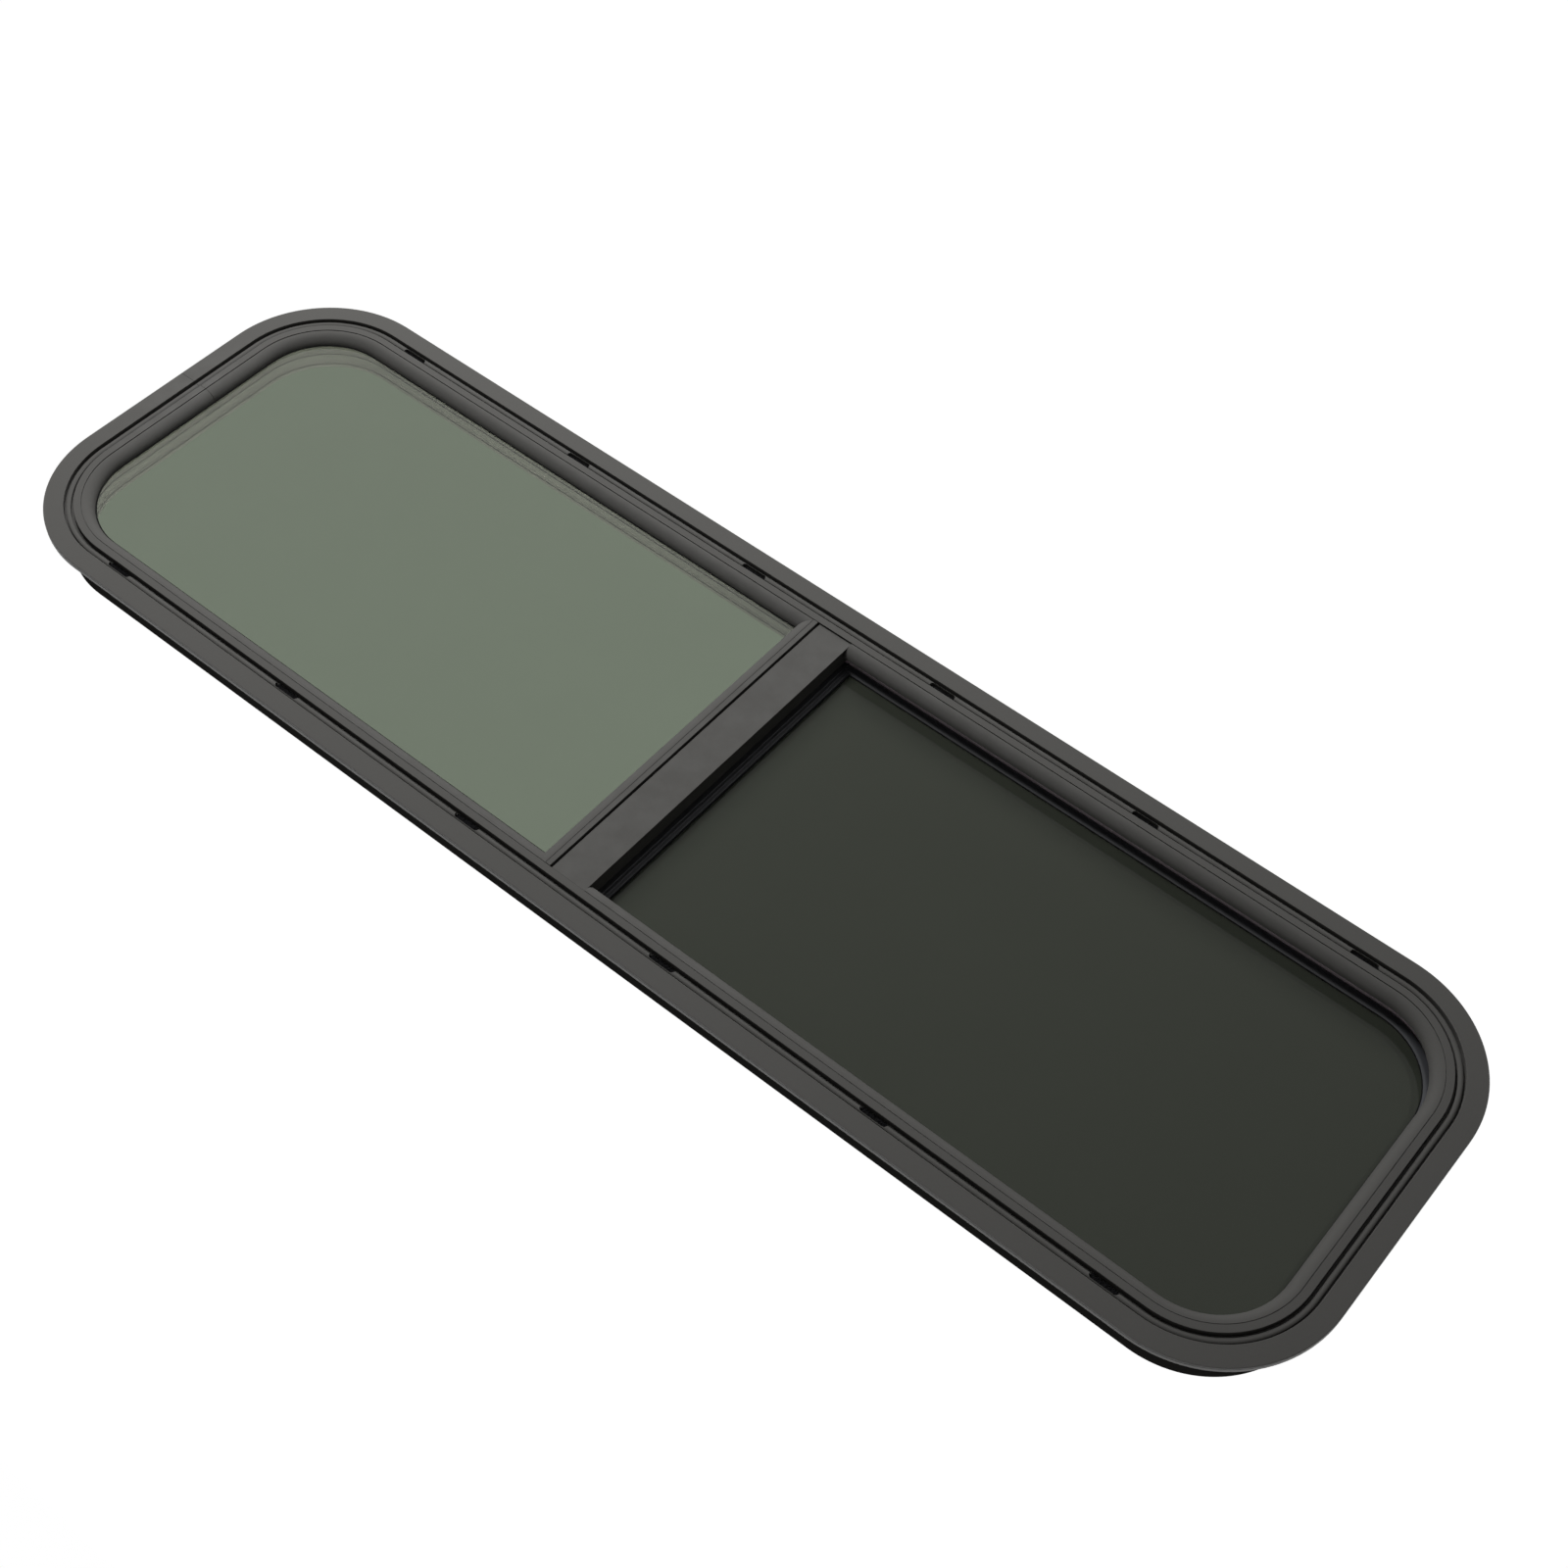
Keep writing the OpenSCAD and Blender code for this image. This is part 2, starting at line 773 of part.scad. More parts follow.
// Woven mesh, as one thin sheet on the frame's outer side
module screen_mesh() {
    color("#30322f", 0.6)
        translate([0, 0, mid_z])
            slab(mesh_y - mesh_t, mesh_y)
                pane_outline(-1, spline_p + spline_d / 2 + fit, stile_x0 + screen_face / 2 - fit);
}

// Cord pressed into the screen frame's groove
module screen_spline() {
    color("#111111")
        translate([0, 0, mid_z])
            half_sweep(-1, stile_x0)
                translate([spline_p, screen_y + 2 * spline_d / 3 - spline_d / 2 - touch])
                    circle(spline_d / 2 - touch);
}

// Two finger tabs on the screen's free stile
module screen_pulls() {
    tab_w = 10;
    tab_t = 3;
    tab_h = 24;
    tab_floor = 1.2;
    tab_wall = 3;
    tab_edge = half_h - sash_p - tab_h - 26;
    color("#1a1a1a")
        translate([stile_x0 + screen_face / 2, screen_y + screen_t, mid_z])
            for (z = [-tab_edge - tab_h, tab_edge])
                translate([0, 0, z])
                    difference() {
                        cube([tab_w, tab_t, tab_h]);
                        translate([tab_wall, tab_floor, tab_wall])
                            cube([tab_w, tab_t, tab_h - 2 * tab_wall]);
                    }
}

outer_frame();
frame_splice();
flange_seal();
jamb_liner();
weep_foam_top();
weep_foam_bottom();
fixed_glass();
fixed_glass_rubber();
sash_track_pile();
screen_track_pile();
mullion_bar();
mullion_glazing_bead();
mullion_pile();
mullion_block_top();
mullion_block_bottom();
mullion_screws();
sash_rail();
sash_stile();
sash_glass();
sash_glass_rubber();
sash_glides();
sash_bumper();
sash_pull();
sash_latch();
screen_frame();
screen_stile();
screen_mesh();
screen_spline();
screen_glides();
screen_pulls();
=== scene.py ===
import json
import math

import bmesh
import bpy
from mathutils import Matrix, Vector


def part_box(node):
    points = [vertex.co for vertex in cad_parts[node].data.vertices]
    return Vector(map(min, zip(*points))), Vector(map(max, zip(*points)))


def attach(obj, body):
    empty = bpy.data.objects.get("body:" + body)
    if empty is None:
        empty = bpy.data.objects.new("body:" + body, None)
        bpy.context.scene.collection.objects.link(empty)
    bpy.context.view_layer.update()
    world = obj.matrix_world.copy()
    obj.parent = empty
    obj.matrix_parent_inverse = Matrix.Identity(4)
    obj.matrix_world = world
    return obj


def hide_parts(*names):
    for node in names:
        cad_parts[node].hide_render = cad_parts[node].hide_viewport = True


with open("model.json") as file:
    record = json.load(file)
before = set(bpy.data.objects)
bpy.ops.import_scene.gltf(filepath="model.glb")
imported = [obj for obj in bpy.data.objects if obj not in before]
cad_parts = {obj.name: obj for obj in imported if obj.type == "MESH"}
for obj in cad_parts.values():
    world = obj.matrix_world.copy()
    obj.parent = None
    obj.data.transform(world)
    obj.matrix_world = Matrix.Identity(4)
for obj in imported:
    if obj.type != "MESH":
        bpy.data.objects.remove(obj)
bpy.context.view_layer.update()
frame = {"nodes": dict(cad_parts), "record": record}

mm = 0.001
frameLow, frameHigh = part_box("outer_frame")
midHeight = (frameLow.z + frameHigh.z) / 2
halfWidth = (frameHigh.x - frameLow.x) / 2 / mm
halfHeight = (frameHigh.z - frameLow.z) / 2 / mm
print("frame loaded, window", round(frameHigh.x - frameLow.x, 4), "by", round(frameHigh.z - frameLow.z, 4))


# the bent frame's section, in mm
frameSizes = {
    "cornerRadius": 105.0,
    "cornerSteps": 32,
    "sheet": 1.4,
    "flange": 2.0,
    "flangeWidth": 15.3,
    "lip": 1.2,
    "edgeGap": 0.4,
    "edgeRound": 1.2,
    "edgeRise": 0.8,
    "rimShare": 0.4,
    "edgeLine": 0.6,
    "grooveWidth": 8.0,
    "grooveDepth": 4.0,
    "stripWidth": 4.1,
    "stripGap": 1.6,
    "stripDrop": 1.8,
    "stripRound": 3.0,
    "landWidth": 6.6,
    "shadowLine": 0.4,
    "shadowDepth": 1.0,
    "shadowTurn": 1.2,
    "rollRadius": 10.1,
    "rollAngle": 80.0,
    "edge": 0.35,
    "slotCount": 6,
    "slotPitch": 195.7,
    "slotLength": 24.0,
    "slotWidth": 5.4,
    "slotEdge": 0.3,
    "seamRise": -19.0,
    "seamGap": 0.3,
    "cutSpare": 1.0,
    "cutFit": 0.1,
    "arcSteps": 18,
    "stripSteps": 12,
}


def newObject(name, data):
    made = bpy.data.objects.new(name, data)
    bpy.context.scene.collection.objects.link(made)
    return made


def removeAll(*helpers):
    for helper in helpers:
        bpy.data.objects.remove(helper)


# camera, at the photograph's viewing angle
cameraSettings = {
    "place": (-0.72186, -1.45709, 1.06692),
    "turn": (-50.737, 39.216, -177.122),  # degrees
    "lens": 54.45,
}

cameraData = bpy.data.cameras.new("viewCamera")
cameraData.lens = cameraSettings["lens"]
cameraData.sensor_width = 36
camera = newObject("viewCamera", cameraData)
camera.location = cameraSettings["place"]
camera.rotation_euler = [math.radians(a) for a in cameraSettings["turn"]]
bpy.context.scene.camera = camera
bpy.context.scene.view_settings.view_transform = "Standard"


# building nodes, for materials and for geometry
def setInputs(tree, node, inputs):
    for name, value in inputs.items():
        if isinstance(value, bpy.types.NodeSocket):
            tree.links.new(value, node.inputs[name])
        else:
            node.inputs[name].default_value = value


def addNode(tree, kind, inputs, **settings):
    node = tree.nodes.new(kind)
    for name, value in settings.items():
        setattr(node, name, value)
    setInputs(tree, node, inputs)
    return node


def addMath(tree, operation, a, b=0.0, clamp=False):
    return addNode(tree, "ShaderNodeMath", {0: a, 1: b}, operation=operation, use_clamp=clamp).outputs[0]


def newGroup(name, kind, inputs, outputs):
    tree = bpy.data.node_groups.new(name, kind)
    for socketName, kindName, *value in inputs:
        socket = tree.interface.new_socket(socketName, in_out="INPUT", socket_type="NodeSocket" + kindName)
        if value:
            socket.default_value = value[0]
    for socketName, kindName in outputs:
        tree.interface.new_socket(socketName, in_out="OUTPUT", socket_type="NodeSocket" + kindName)
    source = tree.nodes.new("NodeGroupInput").outputs
    target = tree.nodes.new("NodeGroupOutput").inputs
    return tree, source, target


def newPieceTree(name, inputs):
    # a geometry group for one piece, which ends in its material
    inputs = [("Geometry", "Geometry"), *inputs, ("Material", "Material")]
    return newGroup(name, "GeometryNodeTree", inputs, [("Geometry", "Geometry")])


def addVector(tree, **parts):
    return addNode(tree, "ShaderNodeCombineXYZ", parts).outputs[0]


def addParts(tree, vector):
    return addNode(tree, "ShaderNodeSeparateXYZ", {0: vector}).outputs


def addScaled(tree, vector, factor):
    return addNode(tree, "ShaderNodeVectorMath", {0: vector, "Scale": factor}, operation="SCALE").outputs[0]


def addHalf(tree, value):
    return addMath(tree, "MULTIPLY", value, 0.5)


def addRange(tree, value, start, end):
    # 0 at the start of a range of values, 1 at its end
    ramp = addNode(tree, "ShaderNodeMapRange", {"Value": value, "From Min": start, "From Max": end})
    return ramp.outputs["Result"]


def objectPlace(tree):
    return tree.nodes.new("ShaderNodeTexCoord").outputs["Object"]


def faceNormal(tree):
    return addParts(tree, tree.nodes.new("ShaderNodeNewGeometry").outputs["Normal"])


# world, floor and lamps
studio = {
    "ambient": 0.06,
    "ambientColor": (1.0, 0.99, 0.97, 1),
    "floorHeight": -2.5,
    "floorSize": 60.0,
    "floorColor": (0.6, 0.6, 0.59, 1),
    "floorLift": 0.97,
}
lamps = {
    "frontLamp": {"place": (0.9, -1.7, -0.08), "aim": (0.1, 0, 0.15), "size": 0.7, "power": 21},
    "lowLamp": {"place": (1.1, -1.0, -1.35), "aim": (0.1, 0, 0.15), "size": 0.6, "power": 19.5},
    "roomLamp": {"place": (0.3, 0.5, 0.25), "aim": (0.35, 0, 0.15), "size": 0.3, "power": 8.5},
}


def seenDirectly(tree):
    # 1 where the camera, a reflection or a view through glass meets the background
    path = tree.nodes.new("ShaderNodeLightPath").outputs
    either = addMath(tree, "MAXIMUM", path["Is Camera Ray"], path["Is Glossy Ray"])
    return addMath(tree, "MAXIMUM", either, path["Is Transmission Ray"])


def makeWorld():
    world = bpy.data.worlds.new("paleStudio")
    bpy.context.scene.world = world
    world.use_nodes = True
    tree = world.node_tree
    tree.nodes.clear()
    seen = seenDirectly(tree)
    soft = addNode(tree, "ShaderNodeBackground", {
        "Color": studio["ambientColor"], "Strength": studio["ambient"]})
    white = addNode(tree, "ShaderNodeBackground", {"Color": (1, 1, 1, 1), "Strength": 1.0})
    mixed = addNode(tree, "ShaderNodeMixShader", {0: seen, 1: soft.outputs[0], 2: white.outputs[0]})
    addNode(tree, "ShaderNodeOutputWorld", {"Surface": mixed.outputs[0]})


def makeFloor():
    mesh = bpy.data.meshes.new("studioFloor")
    half = studio["floorSize"] / 2
    corners = [(-half, -half), (half, -half), (half, half), (-half, half)]
    mesh.from_pydata([(x, y, studio["floorHeight"]) for x, y in corners], [], [(0, 1, 2, 3)])
    floor = newObject("studioFloor", mesh)
    material = bpy.data.materials.new("paleFloor")
    material.use_nodes = True
    tree = material.node_tree
    setInputs(tree, tree.nodes["Principled BSDF"], {
        "Base Color": studio["floorColor"], "Roughness": 0.9, "Specular IOR Level": 0.1,
        "Emission Color": (1, 1, 1, 1),
        "Emission Strength": addMath(tree, "MULTIPLY", seenDirectly(tree), studio["floorLift"])})
    mesh.materials.append(material)


def makeLamps():
    for name, lamp in lamps.items():
        data = bpy.data.lights.new(name, "AREA")
        data.shape = "DISK"
        data.size = lamp["size"]
        data.energy = lamp["power"]
        light = newObject(name, data)
        light.location = lamp["place"]
        direction = Vector(lamp["aim"]) - Vector(lamp["place"])
        light.rotation_euler = direction.to_track_quat("-Z", "Y").to_euler()
        light.visible_camera = False
        light.visible_transmission = False
        light.visible_glossy = False


makeWorld()
makeFloor()
makeLamps()
print("camera, floor and lamps placed")


# finishes, one material for each slot of the record
finishes = {}
coatRoughness = 0.4
glassWave = 60.0  # mm from one slow change of shade to the next
glassShade = 0.05
effects = {
    "edgeRange": (0.52, 0.62),  # of Pointiness, from plain to worn, with a painted edge highlight
    "patchRange": (0.35, 0.65),
    "dustFacing": (-0.4, 1.0),  # of the normal's height
    "speckRange": (0.4, 0.75),
    "frontFacing": (-0.1, -0.7),  # of the normal's depth
    "rimRange": (0.8, 0.3),  # mm in from the flange's edge
}


def buildCoatGrain():
    # fine orange peel of a sprayed or moulded surface, with slow changes of shade
    tree, source, target = newGroup(
        "coatGrain", "ShaderNodeTree",
        [("Grain Size", "Float", 1.0), ("Shade Change", "Float", 0.1),
         ("Color", "Color", (0.05, 0.05, 0.05, 1)), ("Roughness", "Float", 0.5),
         ("Roughness Change", "Float", 0.08)],
        [("Color", "Color"), ("Roughness", "Float"), ("Height", "Float")])
    place = objectPlace(tree)
    grainScale = addMath(tree, "DIVIDE", 1000.0, source["Grain Size"])
    grain = addNode(tree, "ShaderNodeTexNoise", {"Vector": place, "Scale": grainScale, "Detail": 2.0})
    cloud = addNode(tree, "ShaderNodeTexNoise", {
        "Vector": place, "Scale": 14.0, "Detail": 3.0, "Roughness": 0.6})
    fromMiddle = addMath(tree, "SUBTRACT", cloud.outputs["Fac"], 0.5)
    grainShade = addMath(tree, "SUBTRACT", grain.outputs["Fac"], 0.5)
    shade = addMath(tree, "ADD", addMath(tree, "MULTIPLY", grainShade, 0.6), fromMiddle)
    gain = addMath(tree, "ADD", addMath(tree, "MULTIPLY", shade, source["Shade Change"]), 1.0)
    tree.links.new(addScaled(tree, source["Color"], gain), target["Color"])
    change = addMath(tree, "MULTIPLY", shade, source["Roughness Change"])
    tree.links.new(addMath(tree, "ADD", source["Roughness"], change, clamp=True), target["Roughness"])
    tree.links.new(grain.outputs["Fac"], target["Height"])
    return tree


def newCover(name, color, amount):
    # a group that lays a second color over the first
    inputs = [("Color", "Color", (0.05, 0.05, 0.05, 1)), ("Cover", "Color", color), ("Amount", "Float", amount)]
    return newGroup(name, "ShaderNodeTree", inputs, [("Color", "Color")])


def endCover(tree, source, target, mask):
    mask = addMath(tree, "MULTIPLY", mask, source["Amount"], clamp=True)
    mixed = addNode(tree, "ShaderNodeMix", {0: mask, 6: source["Color"], 7: source["Cover"]}, data_type="RGBA")
    tree.links.new(mixed.outputs[2], target["Color"])
    return tree


def buildEdgeWearAndHighlight():
    # a lighter line along outer edges: wear where a coat thins, and a painted edge highlight
    tree, source, target = newCover("edgeWear", (0.2, 0.2, 0.2, 1), 0.4)
    place = objectPlace(tree)
    point = tree.nodes.new("ShaderNodeNewGeometry").outputs["Pointiness"]
    edge = addRange(tree, point, *effects["edgeRange"])
    patches = addNode(tree, "ShaderNodeTexNoise", {"Vector": place, "Scale": 60.0, "Detail": 4.0})
    broken = addRange(tree, patches.outputs["Fac"], *effects["patchRange"])
    return endCover(tree, source, target, addMath(tree, "MULTIPLY", edge, broken))


def buildSettledDust():
    # a thin film of dust, thickest on what faces up
    tree, source, target = newCover("settledDust", (0.35, 0.34, 0.31, 1), 0.05)
    place = objectPlace(tree)
    facing = addRange(tree, faceNormal(tree)["Z"], *effects["dustFacing"])
    specks = addNode(tree, "ShaderNodeTexNoise", {
        "Vector": place, "Scale": 900.0, "Detail": 3.0, "Roughness": 0.7})
    fine = addRange(tree, specks.outputs["Fac"], *effects["speckRange"])
    return endCover(tree, source, target, addMath(tree, "MULTIPLY", facing, fine))


def buildPaintedFrontSheen():
    # painted sheen: the clear coat is given only to faces turned outside, and in full round the flange's rim as
    # a painted highlight; faces turned away get none and stay dark
    tree, source, target = newGroup(
        "frontCoat", "ShaderNodeTree",
        [("Amount", "Float", 0.25), ("Rim Amount", "Float", 1.0),
         ("Half Length", "Float", 0.6), ("Half Height", "Float", 0.2),
         ("Corner Radius", "Float", 0.1), ("Middle", "Float", 0.2)],
        [("Coat Weight", "Float")])
    place = addParts(tree, objectPlace(tree))
    up = addMath(tree, "SUBTRACT", place["Z"], source["Middle"])
    squares = []
    for along, half in ((place["X"], source["Half Length"]), (up, source["Half Height"])):
        start = addMath(tree, "SUBTRACT", half, source["Corner Radius"])
        beyond = addMath(tree, "SUBTRACT", addMath(tree, "ABSOLUTE", along), start)
        squares.append(addMath(tree, "POWER", addMath(tree, "MAXIMUM", beyond, 0.0), 2.0))
    distance = addMath(tree, "SQRT", addMath(tree, "ADD", *squares))
    inside = addMath(tree, "SUBTRACT", source["Corner Radius"], distance)
    rim = addRange(tree, inside, *(v * mm for v in effects["rimRange"]))
    facing = addRange(tree, faceNormal(tree)["Y"], *effects["frontFacing"])
    front = addMath(tree, "MULTIPLY", facing, source["Amount"])
    edge = addMath(tree, "MULTIPLY", rim, source["Rim Amount"])
    tree.links.new(addMath(tree, "MAXIMUM", front, edge, clamp=True), target[0])
    return tree


coatGrain = buildCoatGrain()
frontCoat = buildPaintedFrontSheen()
edgeWear = buildEdgeWearAndHighlight()
settledDust = buildSettledDust()


def newFinish(slot):
    material = bpy.data.materials.new(slot)
    material.use_nodes = True
    finishes[slot] = material
    return material.node_tree, material.node_tree.nodes["Principled BSDF"]


def coatedFinish(slot, color, roughness, specular, grain, bump, wornColor=None, wear=0.0, dust=0.0, shade=0.04,
                 metallic=0.0, sheen=0.0, coat=0.0):
    tree, shader = newFinish(slot)
    base = addNode(tree, "ShaderNodeGroup", {
        "Color": (*color, 1), "Grain Size": grain, "Roughness": roughness, "Shade Change": shade},
        node_tree=coatGrain)
    last = base.outputs["Color"]
    # lighter outer edges: wear, and a painted edge highlight
    if wear:
        last = addNode(tree, "ShaderNodeGroup", {
            "Color": last, "Cover": (*wornColor, 1), "Amount": wear}, node_tree=edgeWear).outputs["Color"]
    if dust:
        last = addNode(tree, "ShaderNodeGroup", {
            "Color": last, "Amount": dust}, node_tree=settledDust).outputs["Color"]
    relief = addNode(tree, "ShaderNodeBump", {
        "Height": base.outputs["Height"], "Strength": 1.0, "Distance": bump * mm})
    setInputs(tree, shader, {
        "Base Color": last, "Roughness": base.outputs["Roughness"], "Normal": relief.outputs["Normal"],
        "Specular IOR Level": specular, "Metallic": metallic, "Sheen Weight": sheen})
    # the coat's weight comes from the front sheen group: painted sheen on faces turned outside and a painted
    # highlight round the flange's rim
    if coat:
        clear = addNode(tree, "ShaderNodeGroup", {
            "Amount": coat, "Half Length": halfWidth * mm, "Half Height": halfHeight * mm,
            "Corner Radius": frameSizes["cornerRadius"] * mm, "Middle": midHeight}, node_tree=frontCoat)
        setInputs(tree, shader, {"Coat Weight": clear.outputs[0], "Coat Roughness": coatRoughness})


def glassFinish(slot, color, roughness, ior, clear):
    tree, shader = newFinish(slot)
    base = addNode(tree, "ShaderNodeGroup", {
        "Color": (*color, 1), "Grain Size": glassWave, "Shade Change": glassShade, "Roughness": roughness,
        "Roughness Change": roughness}, node_tree=coatGrain)
    setInputs(tree, shader, {
        "Base Color": base.outputs["Color"], "Roughness": base.outputs["Roughness"],
        "Transmission Weight": clear, "IOR": ior})


# slot, color, roughness, specular, size of grain and depth of bump in mm, color and share of the lighter edges
# (wear and painted edge highlight), dust
coatedFinish("frame_black", (0.115, 0.113, 0.108), 0.5, 0.0, 1.1, 0.02, (0.2, 0.2, 0.195), 0.35, 0.06, coat=0.2)
coatedFinish("mill_aluminium", (0.6, 0.6, 0.6), 0.35, 0.5, 3.0, 0.01, metallic=1.0)
coatedFinish("seal_foam", (0.018, 0.018, 0.018), 0.95, 0.05, 0.8, 0.15)
coatedFinish("liner_grey", (0.8, 0.69, 0.75), 0.55, 0.15, 0.9, 0.01, dust=0.05)
coatedFinish("weep_foam", (0.014, 0.014, 0.015), 0.95, 0.05, 0.5, 0.3, shade=0.8)
glassFinish("fixed_tint", (0.118, 0.147, 0.103), 0.003, 1.52, 1.0)
glassFinish("sash_tint", (0.068, 0.075, 0.059), 0.003, 1.2, 0.35)
coatedFinish("glazing_rubber", (0.014, 0.014, 0.014), 0.7, 0.05, 0.7, 0.02, dust=0.03)
coatedFinish("pile_grey", (0.8, 0.69, 0.75), 0.95, 0.1, 0.4, 0.1, shade=0.1, sheen=0.1)
coatedFinish("pile_black", (0.02, 0.02, 0.02), 0.95, 0.2, 0.4, 0.2, shade=0.3, sheen=0.3)
coatedFinish("sash_black", (0.06, 0.062, 0.068), 0.35, 0.3, 1.0, 0.02, (0.08, 0.08, 0.08), 0.3)
coatedFinish("moulded_black", (0.024, 0.024, 0.024), 0.55, 0.4, 0.6, 0.03, dust=0.03)
coatedFinish("glide_nylon", (0.7, 0.69, 0.63), 0.4, 0.5, 1.2, 0.005)
coatedFinish("screw_steel", (0.5, 0.5, 0.49), 0.3, 0.5, 0.4, 0.005, metallic=1.0)
coatedFinish("screen_mesh", (0.03, 0.032, 0.03), 0.8, 0.3, 0.3, 0.01, shade=0.3)
print("finishes made:", len(finishes))

slotOfNode = {part["node"]: part["material_slot"] for part in frame["record"]["subparts"]}


def camelName(nodeName):
    first, *rest = nodeName.split("_")
    return first + "".join(word.capitalize() for word in rest)


def nodeBox(name):
    # a node's place in mm, with its height counted from the window's middle
    low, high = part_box(name)
    up = Vector((0, 0, midHeight))
    return (low - up) / mm, (high - up) / mm


# places that several pieces share, counted inwards from the flange's edge or as a depth
faceY = nodeBox("flange_seal")[0].y - frameSizes["flange"]
floorY = faceY + frameSizes["grooveDepth"]
grooveStart = frameSizes["flangeWidth"] + frameSizes["sheet"]
grooveEnd = grooveStart + frameSizes["grooveWidth"]
landEnd = grooveEnd + frameSizes["landWidth"]


def addPiece(name, mesh, nodeName, *others):
    # a finished piece stands for one or more nodes of the frame
    piece = newObject(name, mesh)
    slot = slotOfNode[nodeName]
    mesh.materials.clear()
    mesh.materials.append(finishes[slot])
    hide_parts(nodeName, *others)
    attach(piece, "root")


# meshes from modifiers
def evaluatedMesh(holder):
    bpy.context.view_layer.update()
    return bpy.data.meshes.new_from_object(holder.evaluated_get(bpy.context.evaluated_depsgraph_get()))


def smoothedMesh(holder, sharpAngle=38):
    # takes the evaluated mesh, with normals that keep the flat faces flat
    mesh = evaluatedMesh(holder)
    holder.modifiers.clear()
    mesh.shade_smooth()
    mesh.set_sharp_from_angle(angle=math.radians(sharpAngle))
    holder.data = mesh
    weighted = holder.modifiers.new("flatFaces", "WEIGHTED_NORMAL")
    weighted.keep_sharp = True
    final = evaluatedMesh(holder)
    removeAll(holder)
    return final


def runGeometry(name, tree, **values):
    # runs a geometry tree on an empty mesh, with its inputs set by identifier
    holder = newObject(name, bpy.data.meshes.new(name))
    modifier = holder.modifiers.new(name, "NODES")
    modifier.node_group = tree
    for item in tree.interface.items_tree:
        key = item.name[0].lower() + item.name[1:].replace(" ", "")
        if item.in_out == "INPUT" and key in values:
            modifier[item.identifier] = values.pop(key)
    if values:
        raise ValueError("no such input: " + ", ".join(values))
    return holder


def boxObject(name, low, high):
    # a box between two corners in mm, with heights counted from the window's middle
    shape = bmesh.new()
    bmesh.ops.create_cube(shape, size=1.0)
    size = Matrix.Diagonal([(b - a) * mm for a, b in zip(low, high)]).to_4x4()
    centre = Matrix.Translation([(a + b) / 2 * mm for a, b in zip(low, high)])
    shape.transform(Matrix.Translation((0, 0, midHeight)) @ centre @ size)
    mesh = bpy.data.meshes.new(name)
    shape.to_mesh(mesh)
    shape.free()
    return newObject(name, mesh)


softening = {
    "mergeReach": 0.01,
    "flatAngle": 0.5,  # degrees, as the next
    "edgeAngle": 40,
    "segments": 2,
}


def softenedCopy(nodeName, width, cutter=None):
    # a copy of a plain node whose edges are rounded as on the real piece
    source = frame["nodes"][nodeName]
    mesh = source.data.copy()
    mesh.materials.clear()
    shape = bmesh.new()
    shape.from_mesh(mesh)
    bmesh.ops.remove_doubles(shape, verts=shape.verts, dist=softening["mergeReach"] * mm)
    bmesh.ops.dissolve_limit(
        shape, angle_limit=math.radians(softening["flatAngle"]), verts=shape.verts, edges=shape.edges)
    shape.to_mesh(mesh)
    shape.free()
    holder = newObject(nodeName + "Soft", mesh)
    if cutter:
        groove = holder.modifiers.new("groove", "BOOLEAN")
        groove.operation = "DIFFERENCE"
        groove.solver = "EXACT"
        groove.object = cutter
    bevel = holder.modifiers.new("softEdge", "BEVEL")
    bevel.width = width * mm
    bevel.segments = softening["segments"]
    bevel.limit_method = "ANGLE"
    bevel.angle_limit = math.radians(softening["edgeAngle"])
    bevel.use_clamp_overlap = True
    return smoothedMesh(holder)


# sections, drawn in mm with x inwards from the flange's edge and y as the depth
roundingShare = 0.48  # of a side, the most that one corner's rounding takes
roundingSteps = 3


def roundedLoop(corners):
    points = []
    for index, (x, y, radius) in enumerate(corners):
        here = Vector((x, y))
        if radius == 0:
            points.append(here)
            continue
        back = Vector(corners[index - 1][:2]) - here
        ahead = Vector(corners[(index + 1) % len(corners)][:2]) - here
        reach = min(radius / math.tan(back.angle(ahead) / 2), roundingShare * back.length,
                    roundingShare * ahead.length)
        start = here + back.normalized() * reach
        end = here + ahead.normalized() * reach
        for step in range(roundingSteps + 1):
            t = step / roundingSteps
            points.append(start * (1 - t) ** 2 + here * 2 * t * (1 - t) + end * t ** 2)
    return points


def boxLoop(x0, x1, y0, y1, radius):
    return roundedLoop([(x0, y0, radius), (x1, y0, radius), (x1, y1, radius), (x0, y1, radius)])


def drawnCurve(name, loops, closed=True):
    data = bpy.data.curves.new(name, "CURVE")
    data.dimensions = "3D"
    for loop in loops:
        spline = data.splines.new("POLY")
        spline.points.add(len(loop) - 1)
        for point, (x, y) in zip(spline.points, loop):
            point.co = (x * mm, y * mm, 0, 1)
        spline.use_cyclic_u = closed
    return newObject(name, data)


def wholeRun():
    # once round the window, clockwise as seen from outside, so that a section's x points inwards
    signs = [(-1, 1), (1, 1), (1, -1), (-1, -1)]
    return drawnCurve("wholeRun", [[(x * halfWidth, y * halfHeight) for x, y in signs]])


def addRoundedRun(tree, source):
    # the run with its corners rounded, level all along
    run = addNode(tree, "GeometryNodeObjectInfo", {"Object": source["Run"]})
    corners = addNode(tree, "GeometryNodeFilletCurve", {
        "Curve": run.outputs["Geometry"], "Count": source["Corner Steps"], "Radius": source["Corner Radius"]},
        mode="POLY")
    return addNode(tree, "GeometryNodeSetCurveNormal", {"Curve": corners.outputs[0]}, mode="Z_UP").outputs[0]


def addCarried(tree, curve, profile):
    return addNode(tree, "GeometryNodeCurveToMesh", {
        "Curve": curve, "Profile Curve": profile, "Fill Caps": True}).outputs[0]


def addMoved(tree, geometry, place):
    return addNode(tree, "GeometryNodeTransform", {"Geometry": geometry, "Translation": place}).outputs[0]


